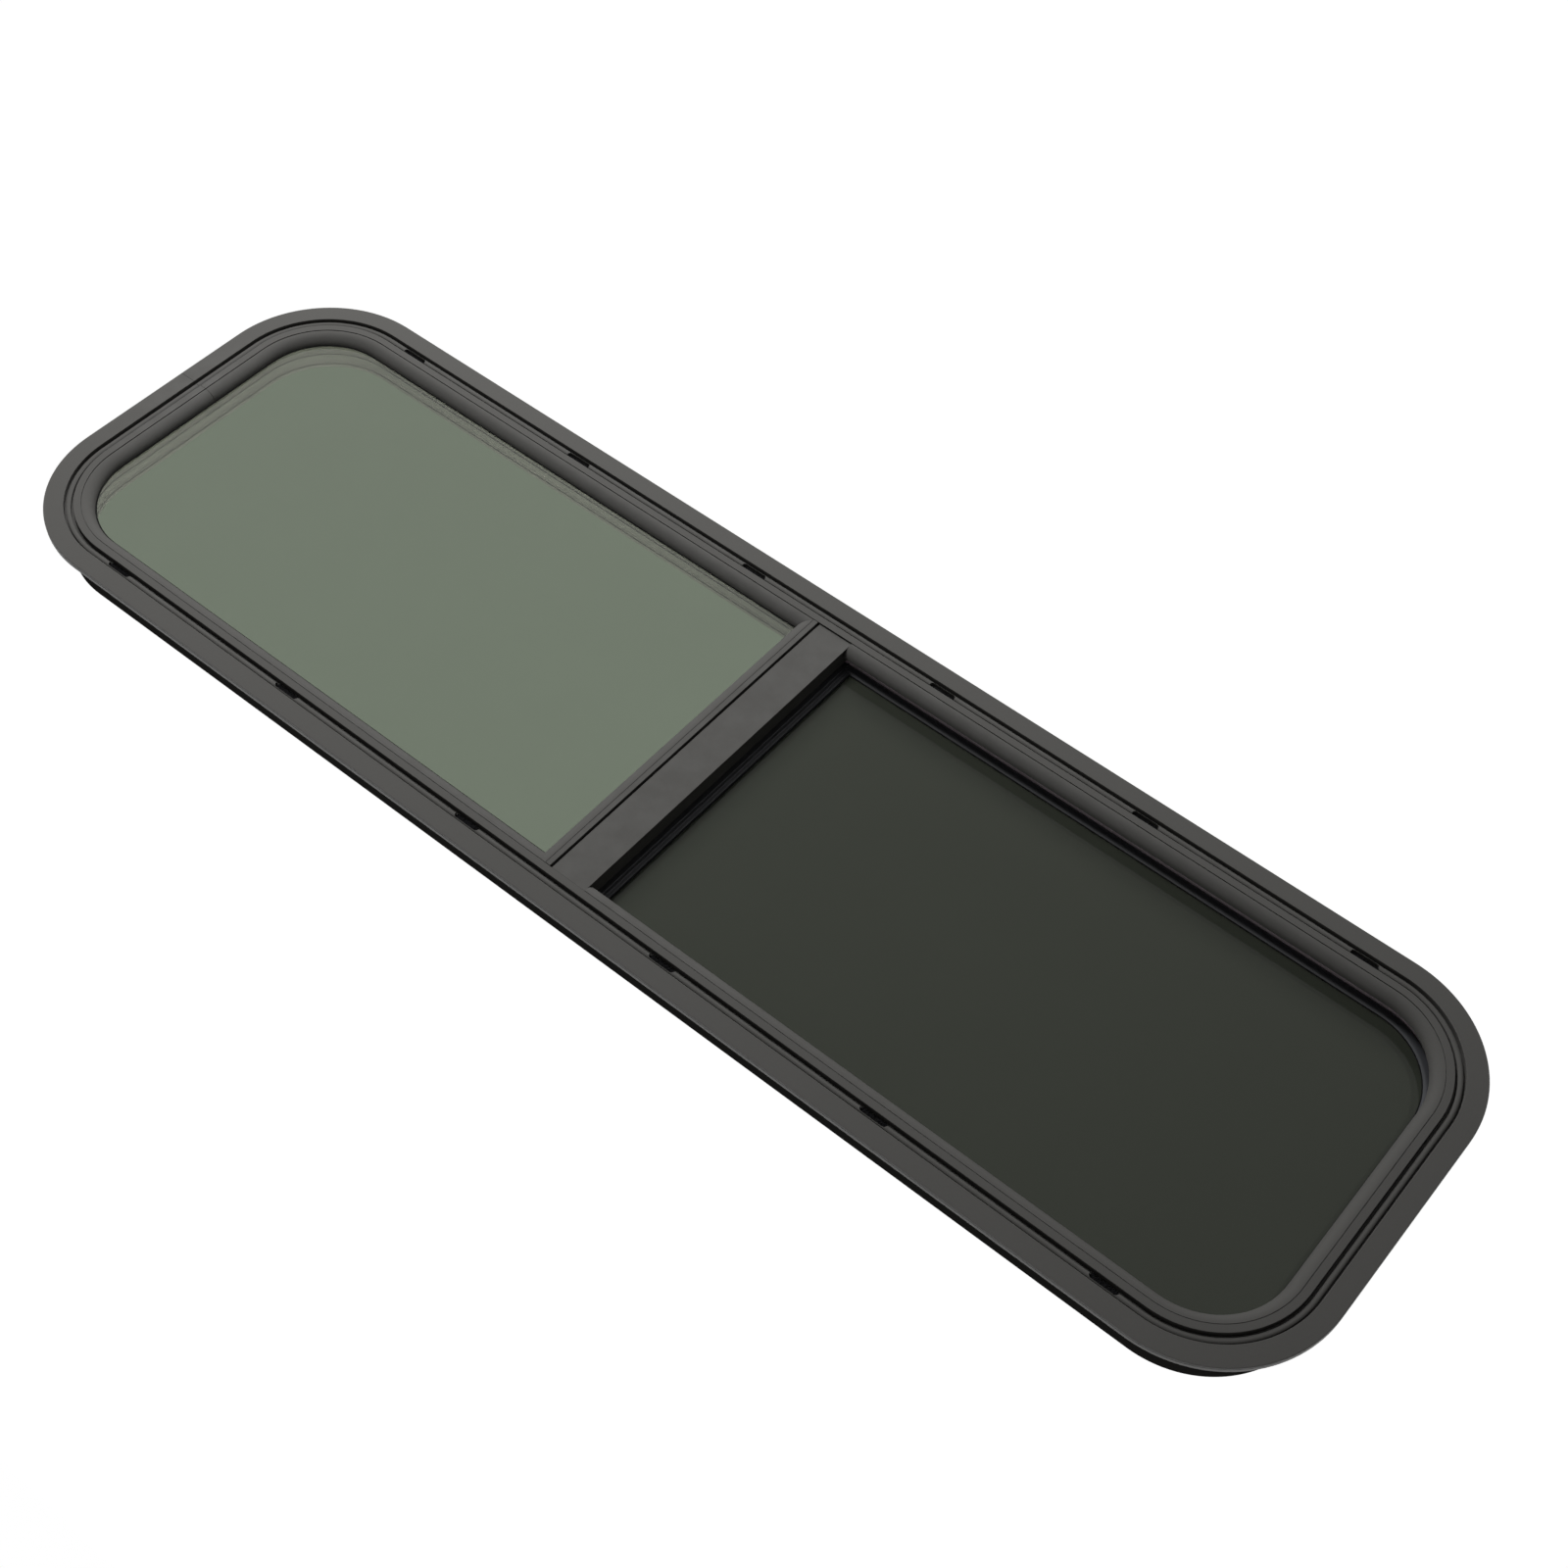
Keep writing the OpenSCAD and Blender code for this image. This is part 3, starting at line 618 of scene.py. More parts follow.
def addRow(tree, count, pitch, axis="X", **place):
    # points along an axis, with the row's middle at 0
    reach = addMath(tree, "MULTIPLY", addMath(tree, "SUBTRACT", count, 1.0), pitch)
    start = addMath(tree, "MULTIPLY", reach, -0.5)
    return addNode(tree, "GeometryNodeMeshLine", {
        "Count": count, "Start Location": addVector(tree, **{axis: start}, **place),
        "Offset": addVector(tree, **{axis: pitch})}).outputs[0]


carriedInputs = [("Run", "Object"), ("Section", "Object"), ("Corner Radius", "Float", 0.105),
                 ("Corner Steps", "Int", 32)]


def buildCarriedSection():
    # a section carried along a run with rounded corners
    tree, source, target = newGroup(
        "carriedSection", "GeometryNodeTree", carriedInputs, [("Geometry", "Geometry")])
    section = addNode(tree, "GeometryNodeObjectInfo", {"Object": source["Section"]})
    tree.links.new(addCarried(tree, addRoundedRun(tree, source), section.outputs["Geometry"]), target[0])
    return tree


def endUpright(tree, geometry, source, target):
    # turns what was made flat upright, at the window's height, and gives it its material
    up = addNode(tree, "GeometryNodeTransform", {
        "Geometry": geometry, "Translation": (0, 0, midHeight), "Rotation": (math.pi / 2, 0, 0)})
    real = addNode(tree, "GeometryNodeRealizeInstances", {"Geometry": up.outputs[0]})
    painted = addNode(tree, "GeometryNodeSetMaterial", {
        "Geometry": real.outputs[0], "Material": source["Material"]})
    tree.links.new(painted.outputs[0], target[0])
    return tree


carriedSection = buildCarriedSection()


def addCarriedSection(tree, source):
    inputs = {item[0]: source[item[0]] for item in carriedInputs}
    return addNode(tree, "GeometryNodeGroup", inputs, node_tree=carriedSection).outputs[0]


def buildPlainSweep():
    tree, source, target = newPieceTree("plainSweep", carriedInputs)
    return endUpright(tree, addCarriedSection(tree, source), source, target)


plainSweep = buildPlainSweep()


def sweptPiece(name, nodeName, run, loops):
    section = drawnCurve(name + "Section", loops)
    holder = runGeometry(
        name, plainSweep, run=run, section=section, cornerRadius=frameSizes["cornerRadius"] * mm,
        cornerSteps=frameSizes["cornerSteps"], material=finishes[slotOfNode[nodeName]])
    addPiece(name, smoothedMesh(holder), nodeName)
    removeAll(run, section)


# the bent outer frame, one extrusion carried round the window
def frameLoops(sizes, landY, boxY, rimY, jambP, ribY, pockets):
    # the section's outer outline and the chamber inside it
    sheet = sizes["sheet"]
    edge = sizes["edge"]
    crest = sizes["edgeRound"] / 2
    deepRound = 1.5 * edge
    chamberTop = landY + 1.5 * sheet
    flangeBack = faceY + sizes["flange"]
    innerP = jambP - sheet
    radius = sizes["rollRadius"]
    rollY = landY + sizes["shadowLine"] + radius
    turn = math.radians(sizes["rollAngle"])
    meet = math.asin((innerP - landEnd) / (radius - sheet))
    steps = sizes["arcSteps"]

    def rollPoint(distance, angle):
        return (landEnd + distance * math.sin(angle), rollY - distance * math.cos(angle), 0)

    stripStart = grooveStart + sizes["stripGap"]
    stripEnd = stripStart + sizes["stripWidth"]
    stripMiddle = (stripStart + stripEnd) / 2
    crown = sizes["stripRound"]
    crownY = landY + sizes["stripDrop"] + crown
    crownTurn = math.asin(sizes["stripWidth"] / 2 / crown)
    stripTurns = [crownTurn * (2 * i / sizes["stripSteps"] - 1) for i in range(sizes["stripSteps"] + 1)]
    strip = [(stripMiddle + crown * math.sin(t), crownY - crown * math.cos(t), 0) for t in stripTurns]
    first = math.radians(sizes["shadowTurn"])
    outerRoll = [rollPoint(radius, first + (turn - first) * i / steps) for i in range(steps + 1)]
    innerRoll = [rollPoint(radius - sheet, turn + (meet - turn) * i / steps) for i in range(steps + 1)]
    outer = [
        (0, faceY - sizes["rimShare"] * sizes["edgeRise"], edge), (crest, faceY - sizes["edgeRise"], crest),
        (grooveStart, landY, deepRound), (grooveStart, floorY, edge),
        (stripStart, floorY, 0), *strip, (stripEnd, floorY, 0),
        (grooveEnd, floorY, edge), (grooveEnd, landY, deepRound),
        (landEnd - sizes["shadowLine"], landY, edge / 2),
        (landEnd - sizes["shadowLine"], landY + sizes["shadowDepth"], 0),
        (outerRoll[0][0], landY + sizes["shadowDepth"], 0),
        *outerRoll, *innerRoll,
        (innerP, ribY, 0), (jambP, ribY, 0), (jambP, ribY + sheet, 0), (innerP, ribY + sheet, 0),
    ]
    for startY, endY, depthP in pockets:
        outer += [(innerP, startY, 0), (depthP, startY, 0), (depthP, endY, 0), (innerP, endY, 0)]
    outer += [
        (innerP, boxY, edge), (grooveStart, boxY, 0), (grooveStart, rimY, edge),
        (sizes["flangeWidth"], rimY, edge), (sizes["flangeWidth"], flangeBack, edge),
        (sizes["lip"], flangeBack, 0),
        (sizes["lip"], -sizes["edgeGap"], edge), (0, -sizes["edgeGap"], edge),
        (0, faceY + 2 * sizes["edgeLine"], 0), (sizes["edgeLine"], faceY + 2 * sizes["edgeLine"], 0),
        (sizes["edgeLine"], faceY + sizes["edgeLine"], 0), (0, faceY + sizes["edgeLine"], 0),
    ]
    backWall = pockets[0][2] - sheet
    chamber = [
        (grooveStart, floorY + sheet), (grooveStart, boxY - sheet), (backWall, boxY - sheet),
        (backWall, ribY + sheet), (innerP - sheet, ribY + sheet), (innerP - sheet, chamberTop),
        (grooveEnd + sheet, chamberTop), (grooveEnd + sheet, floorY + sheet),
    ]
    return [roundedLoop(outer), [Vector(point) for point in chamber]]


def buildFrameTree():
    # the carried section, less its weep slots, the mullion's room and the seam
    tree, source, target = newPieceTree("bentFrame", [
        *carriedInputs, ("Slot Count", "Int", 6), ("Slot Pitch", "Float", 0.2), ("Slot Length", "Float", 0.024),
        ("Slot Width", "Float", 0.006), ("Slot Row", "Float", 0.17), ("Slot Top", "Float", 0.002),
        ("Slot Depth", "Float", 0.004), ("Notch Size", "Vector"), ("Notch Place", "Vector"),
        ("Seam Size", "Vector"), ("Seam Place", "Vector")])
    outline = addNode(tree, "GeometryNodeCurvePrimitiveQuadrilateral", {
        "Width": source["Slot Length"], "Height": source["Slot Width"]})
    rounding = addMath(tree, "MULTIPLY", source["Slot Width"], 0.499)
    rounded = addNode(tree, "GeometryNodeFilletCurve", {
        "Curve": outline.outputs[0], "Count": 8, "Radius": rounding}, mode="POLY")
    bottom = addMath(tree, "SUBTRACT", source["Slot Top"], source["Slot Depth"])
    line = addNode(tree, "GeometryNodeCurvePrimitiveLine", {
        "Start": addVector(tree, Z=bottom), "End": addVector(tree, Z=source["Slot Top"])})
    upright = addNode(tree, "GeometryNodeSetCurveNormal", {"Curve": line.outputs[0]}, mode="Z_UP")
    slot = addCarried(tree, upright.outputs[0], rounded.outputs[0])
    cutters = []
    for side in (1, -1):
        rowY = addMath(tree, "MULTIPLY", source["Slot Row"], float(side))
        places = addRow(tree, source["Slot Count"], source["Slot Pitch"], Y=rowY)
        row = addNode(tree, "GeometryNodeInstanceOnPoints", {"Points": places, "Instance": slot})
        cutters.append(addNode(tree, "GeometryNodeRealizeInstances", {"Geometry": row.outputs[0]}).outputs[0])
        box = addNode(tree, "GeometryNodeMeshCube", {"Size": source["Notch Size"]})
        mirrored = addNode(tree, "ShaderNodeVectorMath", {
            0: source["Notch Place"], 1: (1, side, 1)}, operation="MULTIPLY")
        cutters.append(addMoved(tree, box.outputs[0], mirrored.outputs[0]))
    box = addNode(tree, "GeometryNodeMeshCube", {"Size": source["Seam Size"]})
    cutters.append(addMoved(tree, box.outputs[0], source["Seam Place"]))
    cut = addNode(tree, "GeometryNodeMeshBoolean", {"Mesh 1": addCarriedSection(tree, source)},
                  operation="DIFFERENCE", solver="MANIFOLD")
    for cutter in cutters:
        tree.links.new(cutter, cut.inputs["Mesh 2"])
    return endUpright(tree, cut.outputs[0], source, target)


beadStrip = 4.6  # the flat part of the glazing bead, beside its roll
linerLow, linerHigh = nodeBox("jamb_liner")
rubberBack = nodeBox("fixed_glass_rubber")[1].y
beadLow, beadHigh = nodeBox("mullion_glazing_bead")
jamb = {
    "faceP": 34.3,
    "liner": 1.4,
    "slotFloorP": 28.9,
    "slots": [(16.4, 21.6), (27.7, 32.9)],  # depths of the two running slots
}


def makeFrame(sizes):
    faceLow, faceHigh = nodeBox("outer_frame")
    barX = nodeBox("mullion_bar")[0].x
    landY = faceLow.y
    wall = jamb["liner"]
    pockets = [(y0 - wall, y1 + wall, jamb["slotFloorP"] - wall) for y0, y1 in jamb["slots"]]
    loops = frameLoops(sizes, landY, linerHigh.y, faceHigh.y, jamb["faceP"], rubberBack, pockets)
    stripY = landY + sizes["stripDrop"]
    lipP = landEnd + sizes["rollRadius"] * math.sin(math.radians(sizes["rollAngle"]))
    spare, fit = sizes["cutSpare"], sizes["cutFit"]
    notchP = landEnd - sizes["shadowLine"] - fit
    beadEnd = beadLow.x + beadStrip
    notchSize = (beadEnd - barX + 2 * fit, lipP + spare - notchP, rubberBack - fit - landY + spare)
    notchMiddle = ((barX + beadEnd) / 2, halfHeight - (notchP + lipP + spare) / 2,
                   -(landY - spare + rubberBack - fit) / 2)
    seamSize = (sizes["cornerRadius"], sizes["seamGap"], faceHigh.y - landY + 2 * spare)
    seamMiddle = (halfWidth - sizes["cornerRadius"] / 2 + spare, sizes["seamRise"], -(faceHigh.y + landY) / 2)
    run = wholeRun()
    section = drawnCurve("frameSection", loops)
    holder = runGeometry(
        "bentFrame", buildFrameTree(), run=run, section=section, cornerRadius=sizes["cornerRadius"] * mm,
        cornerSteps=sizes["cornerSteps"], slotCount=sizes["slotCount"], slotPitch=sizes["slotPitch"] * mm,
        slotLength=sizes["slotLength"] * mm, slotWidth=sizes["slotWidth"] * mm,
        slotRow=(halfHeight - grooveEnd + sizes["slotEdge"] + sizes["slotWidth"] / 2) * mm,
        slotTop=(-stripY + spare) * mm, slotDepth=(floorY - stripY + sizes["sheet"] + 2 * spare) * mm,
        notchSize=[v * mm for v in notchSize], notchPlace=[v * mm for v in notchMiddle],
        seamSize=[v * mm for v in seamSize], seamPlace=[v * mm for v in seamMiddle],
        material=finishes["frame_black"])
    addPiece("bentFrame", smoothedMesh(holder), "outer_frame")
    removeAll(run, section)


makeFrame(frameSizes)
print("frame bent and cut")


# seal and liner
sweepRounds = {
    "seal": 0.9,
    "linerEnd": 0.3,
    "slotMouth": 0.15,
    "slotFloor": 0.2,
}


def makeSweeps(rounds):
    sealLow, sealHigh = nodeBox("flange_seal")
    inset = halfWidth - sealHigh.x
    width = frameSizes["flangeWidth"] - 2 * inset
    sweptPiece("flangeSeal", "flange_seal", wholeRun(),
               [boxLoop(inset, inset + width, sealLow.y, sealHigh.y, rounds["seal"])])
    p, floor, wall = jamb["faceP"], jamb["slotFloorP"], jamb["liner"]
    end, mouth, deep = rounds["linerEnd"], rounds["slotMouth"], rounds["slotFloor"]
    corners = [(p - wall, linerLow.y, 0), (p, linerLow.y, end)]
    for y0, y1 in jamb["slots"]:
        corners += [(p, y0, mouth), (floor, y0, deep), (floor, y1, deep), (p, y1, mouth)]
    corners += [(p, linerHigh.y, end), (p - wall, linerHigh.y, 0)]
    for y0, y1 in reversed(jamb["slots"]):
        corners += [(p - wall, y1 + wall, 0), (floor - wall, y1 + wall, 0), (floor - wall, y0 - wall, 0),
                    (p - wall, y0 - wall, 0)]
    sweptPiece("jambLiner", "jamb_liner", wholeRun(), [roundedLoop(corners)])


makeSweeps(sweepRounds)
print("seal and liner swept")


# foam behind the weep slots
foamSizes = {
    "blockLength": 32.0,
    "padSpare": 0.6,
    "padFoot": 2.0,
    "padDrop": 0.8,
    "cellSize": 1.5,
    "cellDepth": 1.1,
    "sharpAngle": 60,
    "seed": 7,
}


def buildFoamRow():
    # blocks with pads that stand up through the slots, torn to open cells
    tree, source, target = newPieceTree("foamRow", [
        ("Slot Count", "Int", 6), ("Slot Pitch", "Float", 0.2), ("Slot Row", "Float", 0.17),
        ("Block Size", "Vector"), ("Block Place", "Vector"), ("Pad Size", "Vector"), ("Pad Place", "Vector"),
        ("Cell Size", "Float", 0.0015), ("Cell Depth", "Float", 0.001), ("Seed", "Int", 7)])
    block = addNode(tree, "GeometryNodeMeshCube", {
        "Size": source["Block Size"], "Vertices X": 22, "Vertices Y": 8, "Vertices Z": 8})
    pad = addNode(tree, "GeometryNodeMeshCube", {
        "Size": source["Pad Size"], "Vertices X": 52, "Vertices Y": 13, "Vertices Z": 8})
    place = addParts(tree, tree.nodes.new("GeometryNodeInputPosition").outputs[0])
    size = addParts(tree, source["Pad Size"])
    radius = addHalf(tree, size["Y"])
    straight = addMath(tree, "SUBTRACT", addHalf(tree, size["X"]), radius)
    beyond = addMath(tree, "SUBTRACT", addMath(tree, "ABSOLUTE", place["X"]), straight)
    share = addMath(tree, "DIVIDE", addMath(tree, "MAXIMUM", beyond, 0.0), radius, clamp=True)
    narrowing = addMath(tree, "SQRT", addMath(tree, "SUBTRACT", 1.0, addMath(tree, "POWER", share, 2.0)))
    narrowY = addMath(tree, "MULTIPLY", place["Y"], narrowing)
    roundedPad = addNode(tree, "GeometryNodeSetPosition", {
        "Geometry": pad.outputs[0], "Position": addVector(tree, X=place["X"], Y=narrowY, Z=place["Z"])})
    both = tree.nodes.new("GeometryNodeJoinGeometry")
    tree.links.new(addMoved(tree, block.outputs[0], source["Block Place"]), both.inputs[0])
    tree.links.new(addMoved(tree, roundedPad.outputs[0], source["Pad Place"]), both.inputs[0])
    places = addRow(tree, source["Slot Count"], source["Slot Pitch"], Y=source["Slot Row"])
    row = addNode(tree, "GeometryNodeInstanceOnPoints", {"Points": places, "Instance": both.outputs[0]})
    real = addNode(tree, "GeometryNodeRealizeInstances", {"Geometry": row.outputs[0]})
    here = addNode(tree, "ShaderNodeVectorMath", {
        0: tree.nodes.new("GeometryNodeInputPosition").outputs[0], 1: addVector(tree, X=source["Seed"])})
    cells = addNode(tree, "ShaderNodeTexVoronoi", {
        "Vector": here.outputs[0], "Scale": addMath(tree, "DIVIDE", 1.0, source["Cell Size"]),
        "Randomness": 1.0})
    hollow = addRange(tree, cells.outputs["Distance"], 0.7, 0.25)
    depth = addMath(tree, "MULTIPLY", hollow, addMath(tree, "MULTIPLY", source["Cell Depth"], -1.0))
    inward = addScaled(tree, tree.nodes.new("GeometryNodeInputNormal").outputs[0], depth)
    torn = addNode(tree, "GeometryNodeSetPosition", {"Geometry": real.outputs[0], "Offset": inward})
    return endUpright(tree, torn.outputs[0], source, target)


def makeFoam(sizes):
    tree = buildFoamRow()
    slotP = grooveEnd - frameSizes["slotEdge"] - frameSizes["slotWidth"] / 2
    blockLow = floorY + frameSizes["sheet"]
    for nodeName, side in (("weep_foam_top", 1), ("weep_foam_bottom", -1)):
        name = camelName(nodeName)
        low, high = nodeBox(nodeName)
        middle = (low.z + high.z) / 2
        padRow = side * (halfHeight - slotP)
        padTop = low.y + sizes["padDrop"]
        padDepth = blockLow + sizes["padFoot"] - padTop
        holder = runGeometry(
            name, tree, slotCount=frameSizes["slotCount"], slotPitch=frameSizes["slotPitch"] * mm,
            slotRow=middle * mm,
            blockSize=[v * mm for v in (sizes["blockLength"], high.z - low.z, high.y - blockLow)],
            blockPlace=(0, 0, -(high.y + blockLow) / 2 * mm),
            padSize=[v * mm for v in (frameSizes["slotLength"] - sizes["padSpare"],
                                      frameSizes["slotWidth"] - sizes["padSpare"], padDepth)],
            padPlace=(0, (padRow - middle) * mm, -(padTop + padDepth / 2) * mm),
            cellSize=sizes["cellSize"] * mm, cellDepth=sizes["cellDepth"] * mm, seed=sizes["seed"] + side,
            material=finishes["weep_foam"])
        addPiece(name, smoothedMesh(holder, sizes["sharpAngle"]), nodeName)


makeFoam(foamSizes)
print("weep foam torn open")


# pile: a woven backing with rows of fine bristles
pileSizes = {
    "backing": 5.0,
    "spacing": 0.8,
    "rowGap": 0.85,
    "bristle": 0.35,
    "lean": 0.1,
    "spare": 0.05,
    "rows": 6,
    "rootSunk": 0.2,
    "tipPress": 0.1,
    "backingRound": 0.1,
    "mullionBacking": 0.4,
    "mullionRoot": 0.3,
    "mullionInset": 0.4,
}


def buildPileStrip(rows):
    # bristles stand along the run's own normals, or in one direction where Follow Run is 0
    tree, source, target = newPieceTree("pileStrip", [
        ("Run", "Object"), ("Backing", "Object"), ("Corner Radius", "Float", 0.07), ("Corner Steps", "Int", 24),
        ("First Row", "Vector"), ("Root Depth", "Float", 0.0), ("Row Gap", "Vector"),
        ("Spacing", "Float", 0.001), ("Bristle Length", "Float", 0.004), ("Bristle Width", "Float", 0.0003),
        ("Direction", "Vector"), ("Follow Run", "Float", 1.0), ("Lean", "Float", 0.15), ("Seed", "Int", 3)])
    backing = addNode(tree, "GeometryNodeObjectInfo", {"Object": source["Backing"]})
    level = addRoundedRun(tree, source)
    tape = addCarried(tree, level, backing.outputs["Geometry"])
    dots = addNode(tree, "GeometryNodeCurveToPoints", {
        "Curve": level, "Length": source["Spacing"]}, mode="LENGTH")
    inward = addNode(tree, "ShaderNodeMix", {
        0: source["Follow Run"], 4: source["Direction"], 5: dots.outputs["Normal"]},
        data_type="VECTOR").outputs[1]
    firstRow = addNode(tree, "ShaderNodeVectorMath", {
        0: source["First Row"], 1: addScaled(tree, inward, source["Root Depth"])})
    bristle = addNode(tree, "GeometryNodeMeshCone", {
        "Vertices": 3, "Radius Top": 0.0, "Radius Bottom": source["Bristle Width"],
        "Depth": source["Bristle Length"]})
    joined = tree.nodes.new("GeometryNodeJoinGeometry")
    tree.links.new(tape, joined.inputs[0])
    for row in range(rows):
        shift = addNode(tree, "ShaderNodeVectorMath", {
            0: source["Row Gap"], 1: (row, row, row), 2: firstRow.outputs[0]}, operation="MULTIPLY_ADD")
        moved = addNode(tree, "GeometryNodeSetPosition", {
            "Geometry": dots.outputs[0], "Offset": shift.outputs[0]})
        sway = addNode(tree, "FunctionNodeRandomValue", {
            0: (-1, -1, -1), 1: (1, 1, 1), "Seed": addMath(tree, "ADD", source["Seed"], float(row))},
            data_type="FLOAT_VECTOR")
        lean = addScaled(tree, sway.outputs[0], source["Lean"])
        aim = addNode(tree, "ShaderNodeVectorMath", {0: inward, 1: lean})
        turn = addNode(tree, "FunctionNodeAlignRotationToVector", {"Vector": aim.outputs[0]}, axis="Z")
        tufts = addNode(tree, "GeometryNodeInstanceOnPoints", {
            "Points": moved.outputs[0], "Instance": bristle.outputs[0], "Rotation": turn.outputs[0]})
        tree.links.new(tufts.outputs[0], joined.inputs[0])
    return endUpright(tree, joined.outputs[0], source, target)


def makePile(sizes):
    rows = sizes["rows"]
    tree = buildPileStrip(rows)
    floor, face = jamb["slotFloorP"], jamb["faceP"]
    spare = sizes["spare"]
    for nodeName in ("sash_track_pile", "screen_track_pile"):
        name = camelName(nodeName)
        low, high = nodeBox(nodeName)
        inset = floor + spare
        run = drawnCurve("pileRun", [[(low.x, halfHeight - inset), (halfWidth - inset, halfHeight - inset),
                                      (halfWidth - inset, inset - halfHeight), (low.x, inset - halfHeight)]],
                         closed=False)
        backing = drawnCurve("pileBacking", [
            boxLoop(0, sizes["backing"], low.y, high.y, sizes["backingRound"])])
        margin = (high.y - low.y - (rows - 1) * sizes["rowGap"]) / 2
        holder = runGeometry(
            name, tree, run=run, backing=backing, cornerRadius=(frameSizes["cornerRadius"] - inset) * mm,
            cornerSteps=frameSizes["cornerSteps"], firstRow=(0, 0, -(low.y + margin) * mm),
            rowGap=(0, 0, -sizes["rowGap"] * mm), rootDepth=(sizes["backing"] - sizes["rootSunk"]) * mm,
            spacing=sizes["spacing"] * mm, bristleWidth=sizes["bristle"] * mm,
            bristleLength=(face - inset - sizes["backing"] + sizes["tipPress"]) * mm, lean=sizes["lean"],
            material=finishes["pile_grey"])
        addPiece(name, smoothedMesh(holder), nodeName)
        removeAll(run, backing)
    low, high = nodeBox("mullion_pile")
    run = drawnCurve("pileRun", [[(high.x, high.z), (high.x, low.z)]], closed=False)
    thickness, root = sizes["mullionBacking"], sizes["mullionRoot"]
    backing = drawnCurve("pileBacking", [
        boxLoop(0, high.x - low.x, low.y, low.y + thickness, sizes["backingRound"])])
    holder = runGeometry(
        "mullionPile", tree, run=run, backing=backing,
        firstRow=(-sizes["mullionInset"] * mm, 0, -low.y * mm), rowGap=(-sizes["rowGap"] * mm, 0, 0),
        spacing=sizes["spacing"] * mm,
        bristleLength=(high.y - low.y - root - spare) * mm, bristleWidth=sizes["bristle"] * mm,
        direction=(0, 0, -1), followRun=0.0, rootDepth=root * mm, lean=sizes["lean"],
        material=finishes["pile_black"])
    addPiece("mullionPile", smoothedMesh(holder), "mullion_pile")
    removeAll(run, backing)


makePile(pileSizes)
print("pile planted")


# the insect screen's mesh, wire by wire
screenSizes = {
    "pitch": 1.5,
    "wire": 0.24,
    "endRadius": 62.8,
}


def buildWovenScreen():
    # straight wires in two layers, shortened where the outline's corners are rounded
    tree, source, target = newPieceTree("wovenScreen", [
        ("Size", "Vector"), ("Place", "Vector"), ("Uprights", "Int", 300), ("Levels", "Int", 200),
        ("Pitch", "Float", 0.0015), ("Wire", "Float", 0.0003), ("End Radius", "Float", 0.06)])
    size = addParts(tree, source["Size"])
    halfX = addHalf(tree, size["X"])
    halfY = addHalf(tree, size["Y"])
    layer = addHalf(tree, size["Z"])
    cube = addNode(tree, "GeometryNodeMeshCube", {"Size": (1, 1, 1)})
    place = addParts(tree, tree.nodes.new("GeometryNodeInputPosition").outputs[0])

    def shortened(distance):
        # how far the rounded corner pulls the outline in, at this distance from its side
        inside = addMath(tree, "SUBTRACT", source["End Radius"], distance, clamp=True)
        under = addMath(tree, "SUBTRACT", addMath(tree, "POWER", source["End Radius"], 2.0),
                        addMath(tree, "POWER", inside, 2.0))
        return addMath(tree, "SUBTRACT", source["End Radius"],
                       addMath(tree, "SQRT", addMath(tree, "MAXIMUM", under, 0.0)))

    joined = tree.nodes.new("GeometryNodeJoinGeometry")
    for axis, count in (("X", source["Uprights"]), ("Y", source["Levels"])):
        if axis == "X":
            trim = shortened(addMath(tree, "ADD", place["X"], halfX))
            length = addMath(tree, "SUBTRACT", size["Y"], addMath(tree, "MULTIPLY", trim, 2.0))
            scale = {"X": source["Wire"], "Y": length}
            offset = {"Z": addHalf(tree, layer)}
        else:
            trim = shortened(addMath(tree, "SUBTRACT", halfY, addMath(tree, "ABSOLUTE", place["Y"])))
            scale = {"X": addMath(tree, "SUBTRACT", size["X"], trim), "Y": source["Wire"]}
            offset = {"X": addHalf(tree, trim), "Z": addMath(tree, "MULTIPLY", layer, -0.5)}
        sized = addNode(tree, "GeometryNodeInstanceOnPoints", {
            "Points": addRow(tree, count, source["Pitch"], axis), "Instance": cube.outputs[0],
            "Scale": addVector(tree, **scale, Z=layer)})
        moved = addNode(tree, "GeometryNodeTranslateInstances", {
            "Instances": sized.outputs[0], "Translation": addVector(tree, **offset), "Local Space": False})
        tree.links.new(moved.outputs[0], joined.inputs[0])
    return endUpright(tree, addMoved(tree, joined.outputs[0], source["Place"]), source, target)


def makeScreenMesh(sizes):
    low, high = nodeBox("screen_mesh")
    spanX = high.x - low.x
    spanZ = high.z - low.z
    holder = runGeometry(
        "screenWires", buildWovenScreen(), size=(spanX * mm, spanZ * mm, (high.y - low.y) * mm),
        place=((low.x + high.x) / 2 * mm, 0, -(low.y + high.y) / 2 * mm),
        uprights=int(spanX / sizes["pitch"]), levels=int(spanZ / sizes["pitch"]), pitch=sizes["pitch"] * mm,
        wire=sizes["wire"] * mm, endRadius=sizes["endRadius"] * mm, material=finishes["screen_mesh"])
    addPiece("screenWires", smoothedMesh(holder), "screen_mesh")


makeScreenMesh(screenSizes)
print("screen woven")


# the screws that hold the mullion's end blocks
screwSizes = {
    "headWidth": 4.4,
    "crossWidth": 0.8,
    "crossLength": 2.6,
    "crossDepth": 0.6,
    "seed": 4,
}


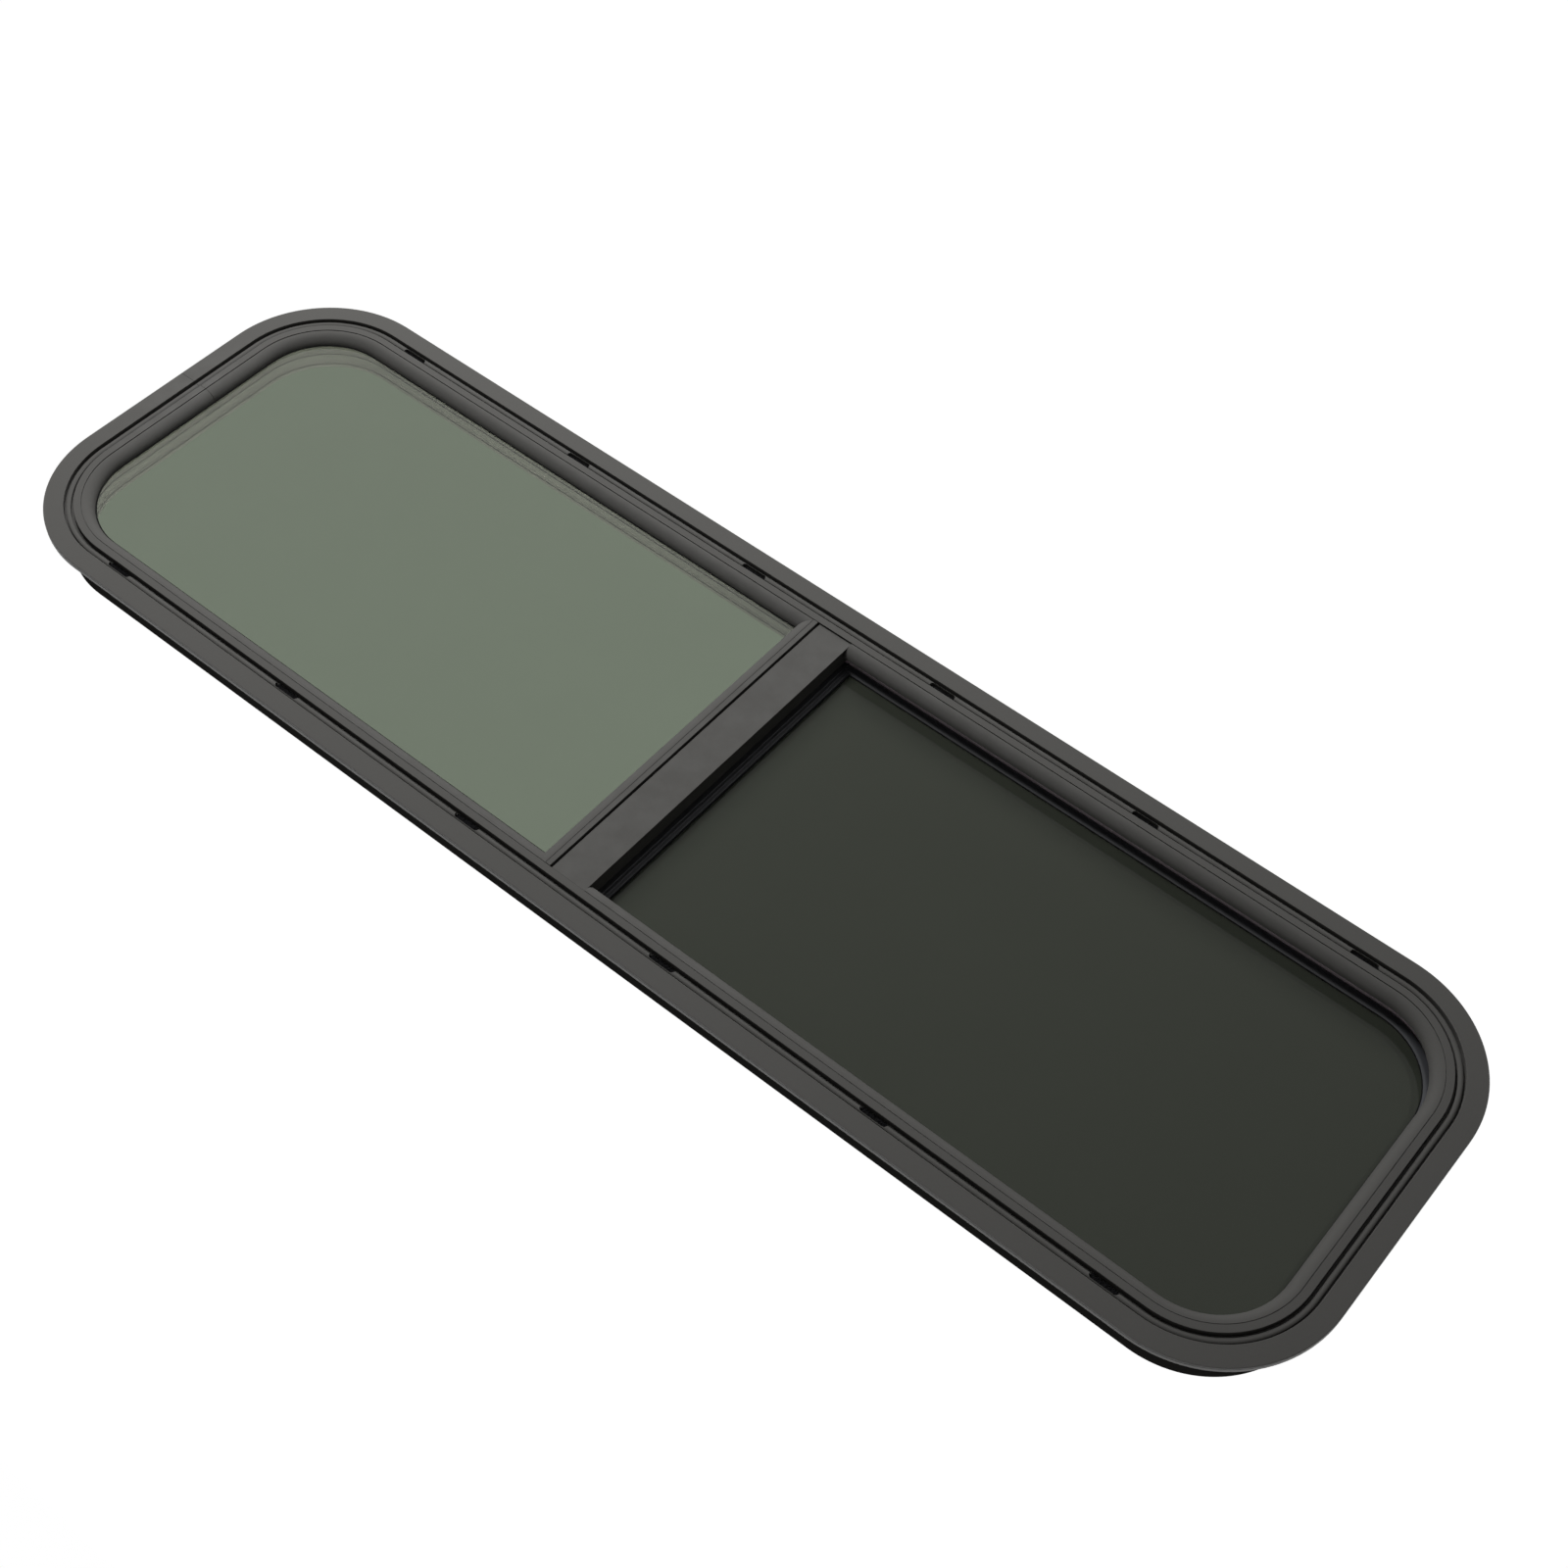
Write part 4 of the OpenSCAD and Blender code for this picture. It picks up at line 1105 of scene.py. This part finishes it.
def buildCrossScrews():
    tree, source, target = newPieceTree("crossScrews", [
        ("Spread X", "Float", 0.01), ("Spread Y", "Float", 0.3), ("Place", "Vector"),
        ("Head Radius", "Float", 0.0022), ("Head Height", "Float", 0.001), ("Cross Length", "Float", 0.0026),
        ("Cross Width", "Float", 0.0008), ("Cross Depth", "Float", 0.0006), ("Seed", "Int", 4)])
    head = addNode(tree, "GeometryNodeMeshCylinder", {
        "Vertices": 32, "Radius": source["Head Radius"], "Depth": source["Head Height"]})
    cut = addNode(tree, "GeometryNodeMeshBoolean", {"Mesh 1": head.outputs[0]}, operation="DIFFERENCE",
                  solver="MANIFOLD")
    depth = addMath(tree, "MULTIPLY", source["Cross Depth"], 2.0)
    top = addMath(tree, "MULTIPLY", source["Head Height"], -0.5)
    for across in (("Cross Length", "Cross Width"), ("Cross Width", "Cross Length")):
        box = addNode(tree, "GeometryNodeMeshCube", {
            "Size": addVector(tree, X=source[across[0]], Y=source[across[1]], Z=depth)})
        tree.links.new(addMoved(tree, box.outputs[0], addVector(tree, Z=top)), cut.inputs["Mesh 2"])
    grid = addNode(tree, "GeometryNodeMeshGrid", {
        "Size X": source["Spread X"], "Size Y": source["Spread Y"], "Vertices X": 2, "Vertices Y": 2})
    turned = addNode(tree, "FunctionNodeRandomValue", {
        0: (0, 0, 0), 1: (0, 0, math.pi / 2), "Seed": source["Seed"]}, data_type="FLOAT_VECTOR")
    heads = addNode(tree, "GeometryNodeInstanceOnPoints", {
        "Points": grid.outputs[0], "Instance": cut.outputs[0],
        "Rotation": addNode(tree, "FunctionNodeEulerToRotation", {0: turned.outputs[0]}).outputs[0]})
    return endUpright(tree, addMoved(tree, heads.outputs[0], source["Place"]), source, target)


def makeScrews(sizes):
    low, high = nodeBox("mullion_screws")
    headWidth = sizes["headWidth"]
    holder = runGeometry(
        "crossScrews", buildCrossScrews(), spreadX=(high.x - low.x - headWidth) * mm,
        spreadY=(high.z - low.z - headWidth) * mm,
        place=((low.x + high.x) / 2 * mm, 0, -(low.y + high.y) / 2 * mm), headRadius=headWidth / 2 * mm,
        headHeight=(high.y - low.y) * mm, crossLength=sizes["crossLength"] * mm,
        crossWidth=sizes["crossWidth"] * mm, crossDepth=sizes["crossDepth"] * mm, seed=sizes["seed"],
        material=finishes["screw_steel"])
    addPiece("crossScrews", smoothedMesh(holder), "mullion_screws")


makeScrews(screwSizes)
print("screws set")


# the other pieces keep the frame's shape, with their edges softened by these widths in mm
softEdges = {
    "frame_splice": 0.3,
    "fixed_glass": 0.5,
    "fixed_glass_rubber": 0.25,
    "mullion_bar": 0.35,
    "mullion_glazing_bead": 0.2,
    "mullion_block_top": 0.4,
    "mullion_block_bottom": 0.4,
    "sash_rail": 0.35,
    "sash_stile": 0.3,
    "sash_glass": 0.4,
    "sash_glass_rubber": 0.15,
    "sash_glides": 0.15,
    "sash_bumper": 0.15,
    "sash_pull": 0.8,
    "sash_latch": 0.7,
    "screen_frame": 0.35,
    "screen_stile": 0.4,
    "screen_spline": 0.1,
    "screen_glides": 0.15,
    "screen_pulls": 0.7,
}

# the fine line beside the glazing bead's roll, cut into it before its edges are softened
lineX = beadLow.x + beadStrip
lineSpare = 0.2
cutSpare = frameSizes["cutSpare"]
beadGroove = boxObject(
    "beadGroove", (lineX - frameSizes["shadowLine"], beadLow.y - cutSpare, beadLow.z - cutSpare),
    (lineX + lineSpare, beadLow.y + frameSizes["shadowDepth"], beadHigh.z + cutSpare))
for nodeName, width in softEdges.items():
    cutter = beadGroove if nodeName == "mullion_glazing_bead" else None
    addPiece(camelName(nodeName), softenedCopy(nodeName, width, cutter=cutter), nodeName)
removeAll(beadGroove)
print("edges softened:", len(softEdges))

for nodeName, node in frame["nodes"].items():
    for index in range(len(node.material_slots)):
        node.material_slots[index].material = finishes[slotOfNode[nodeName]]
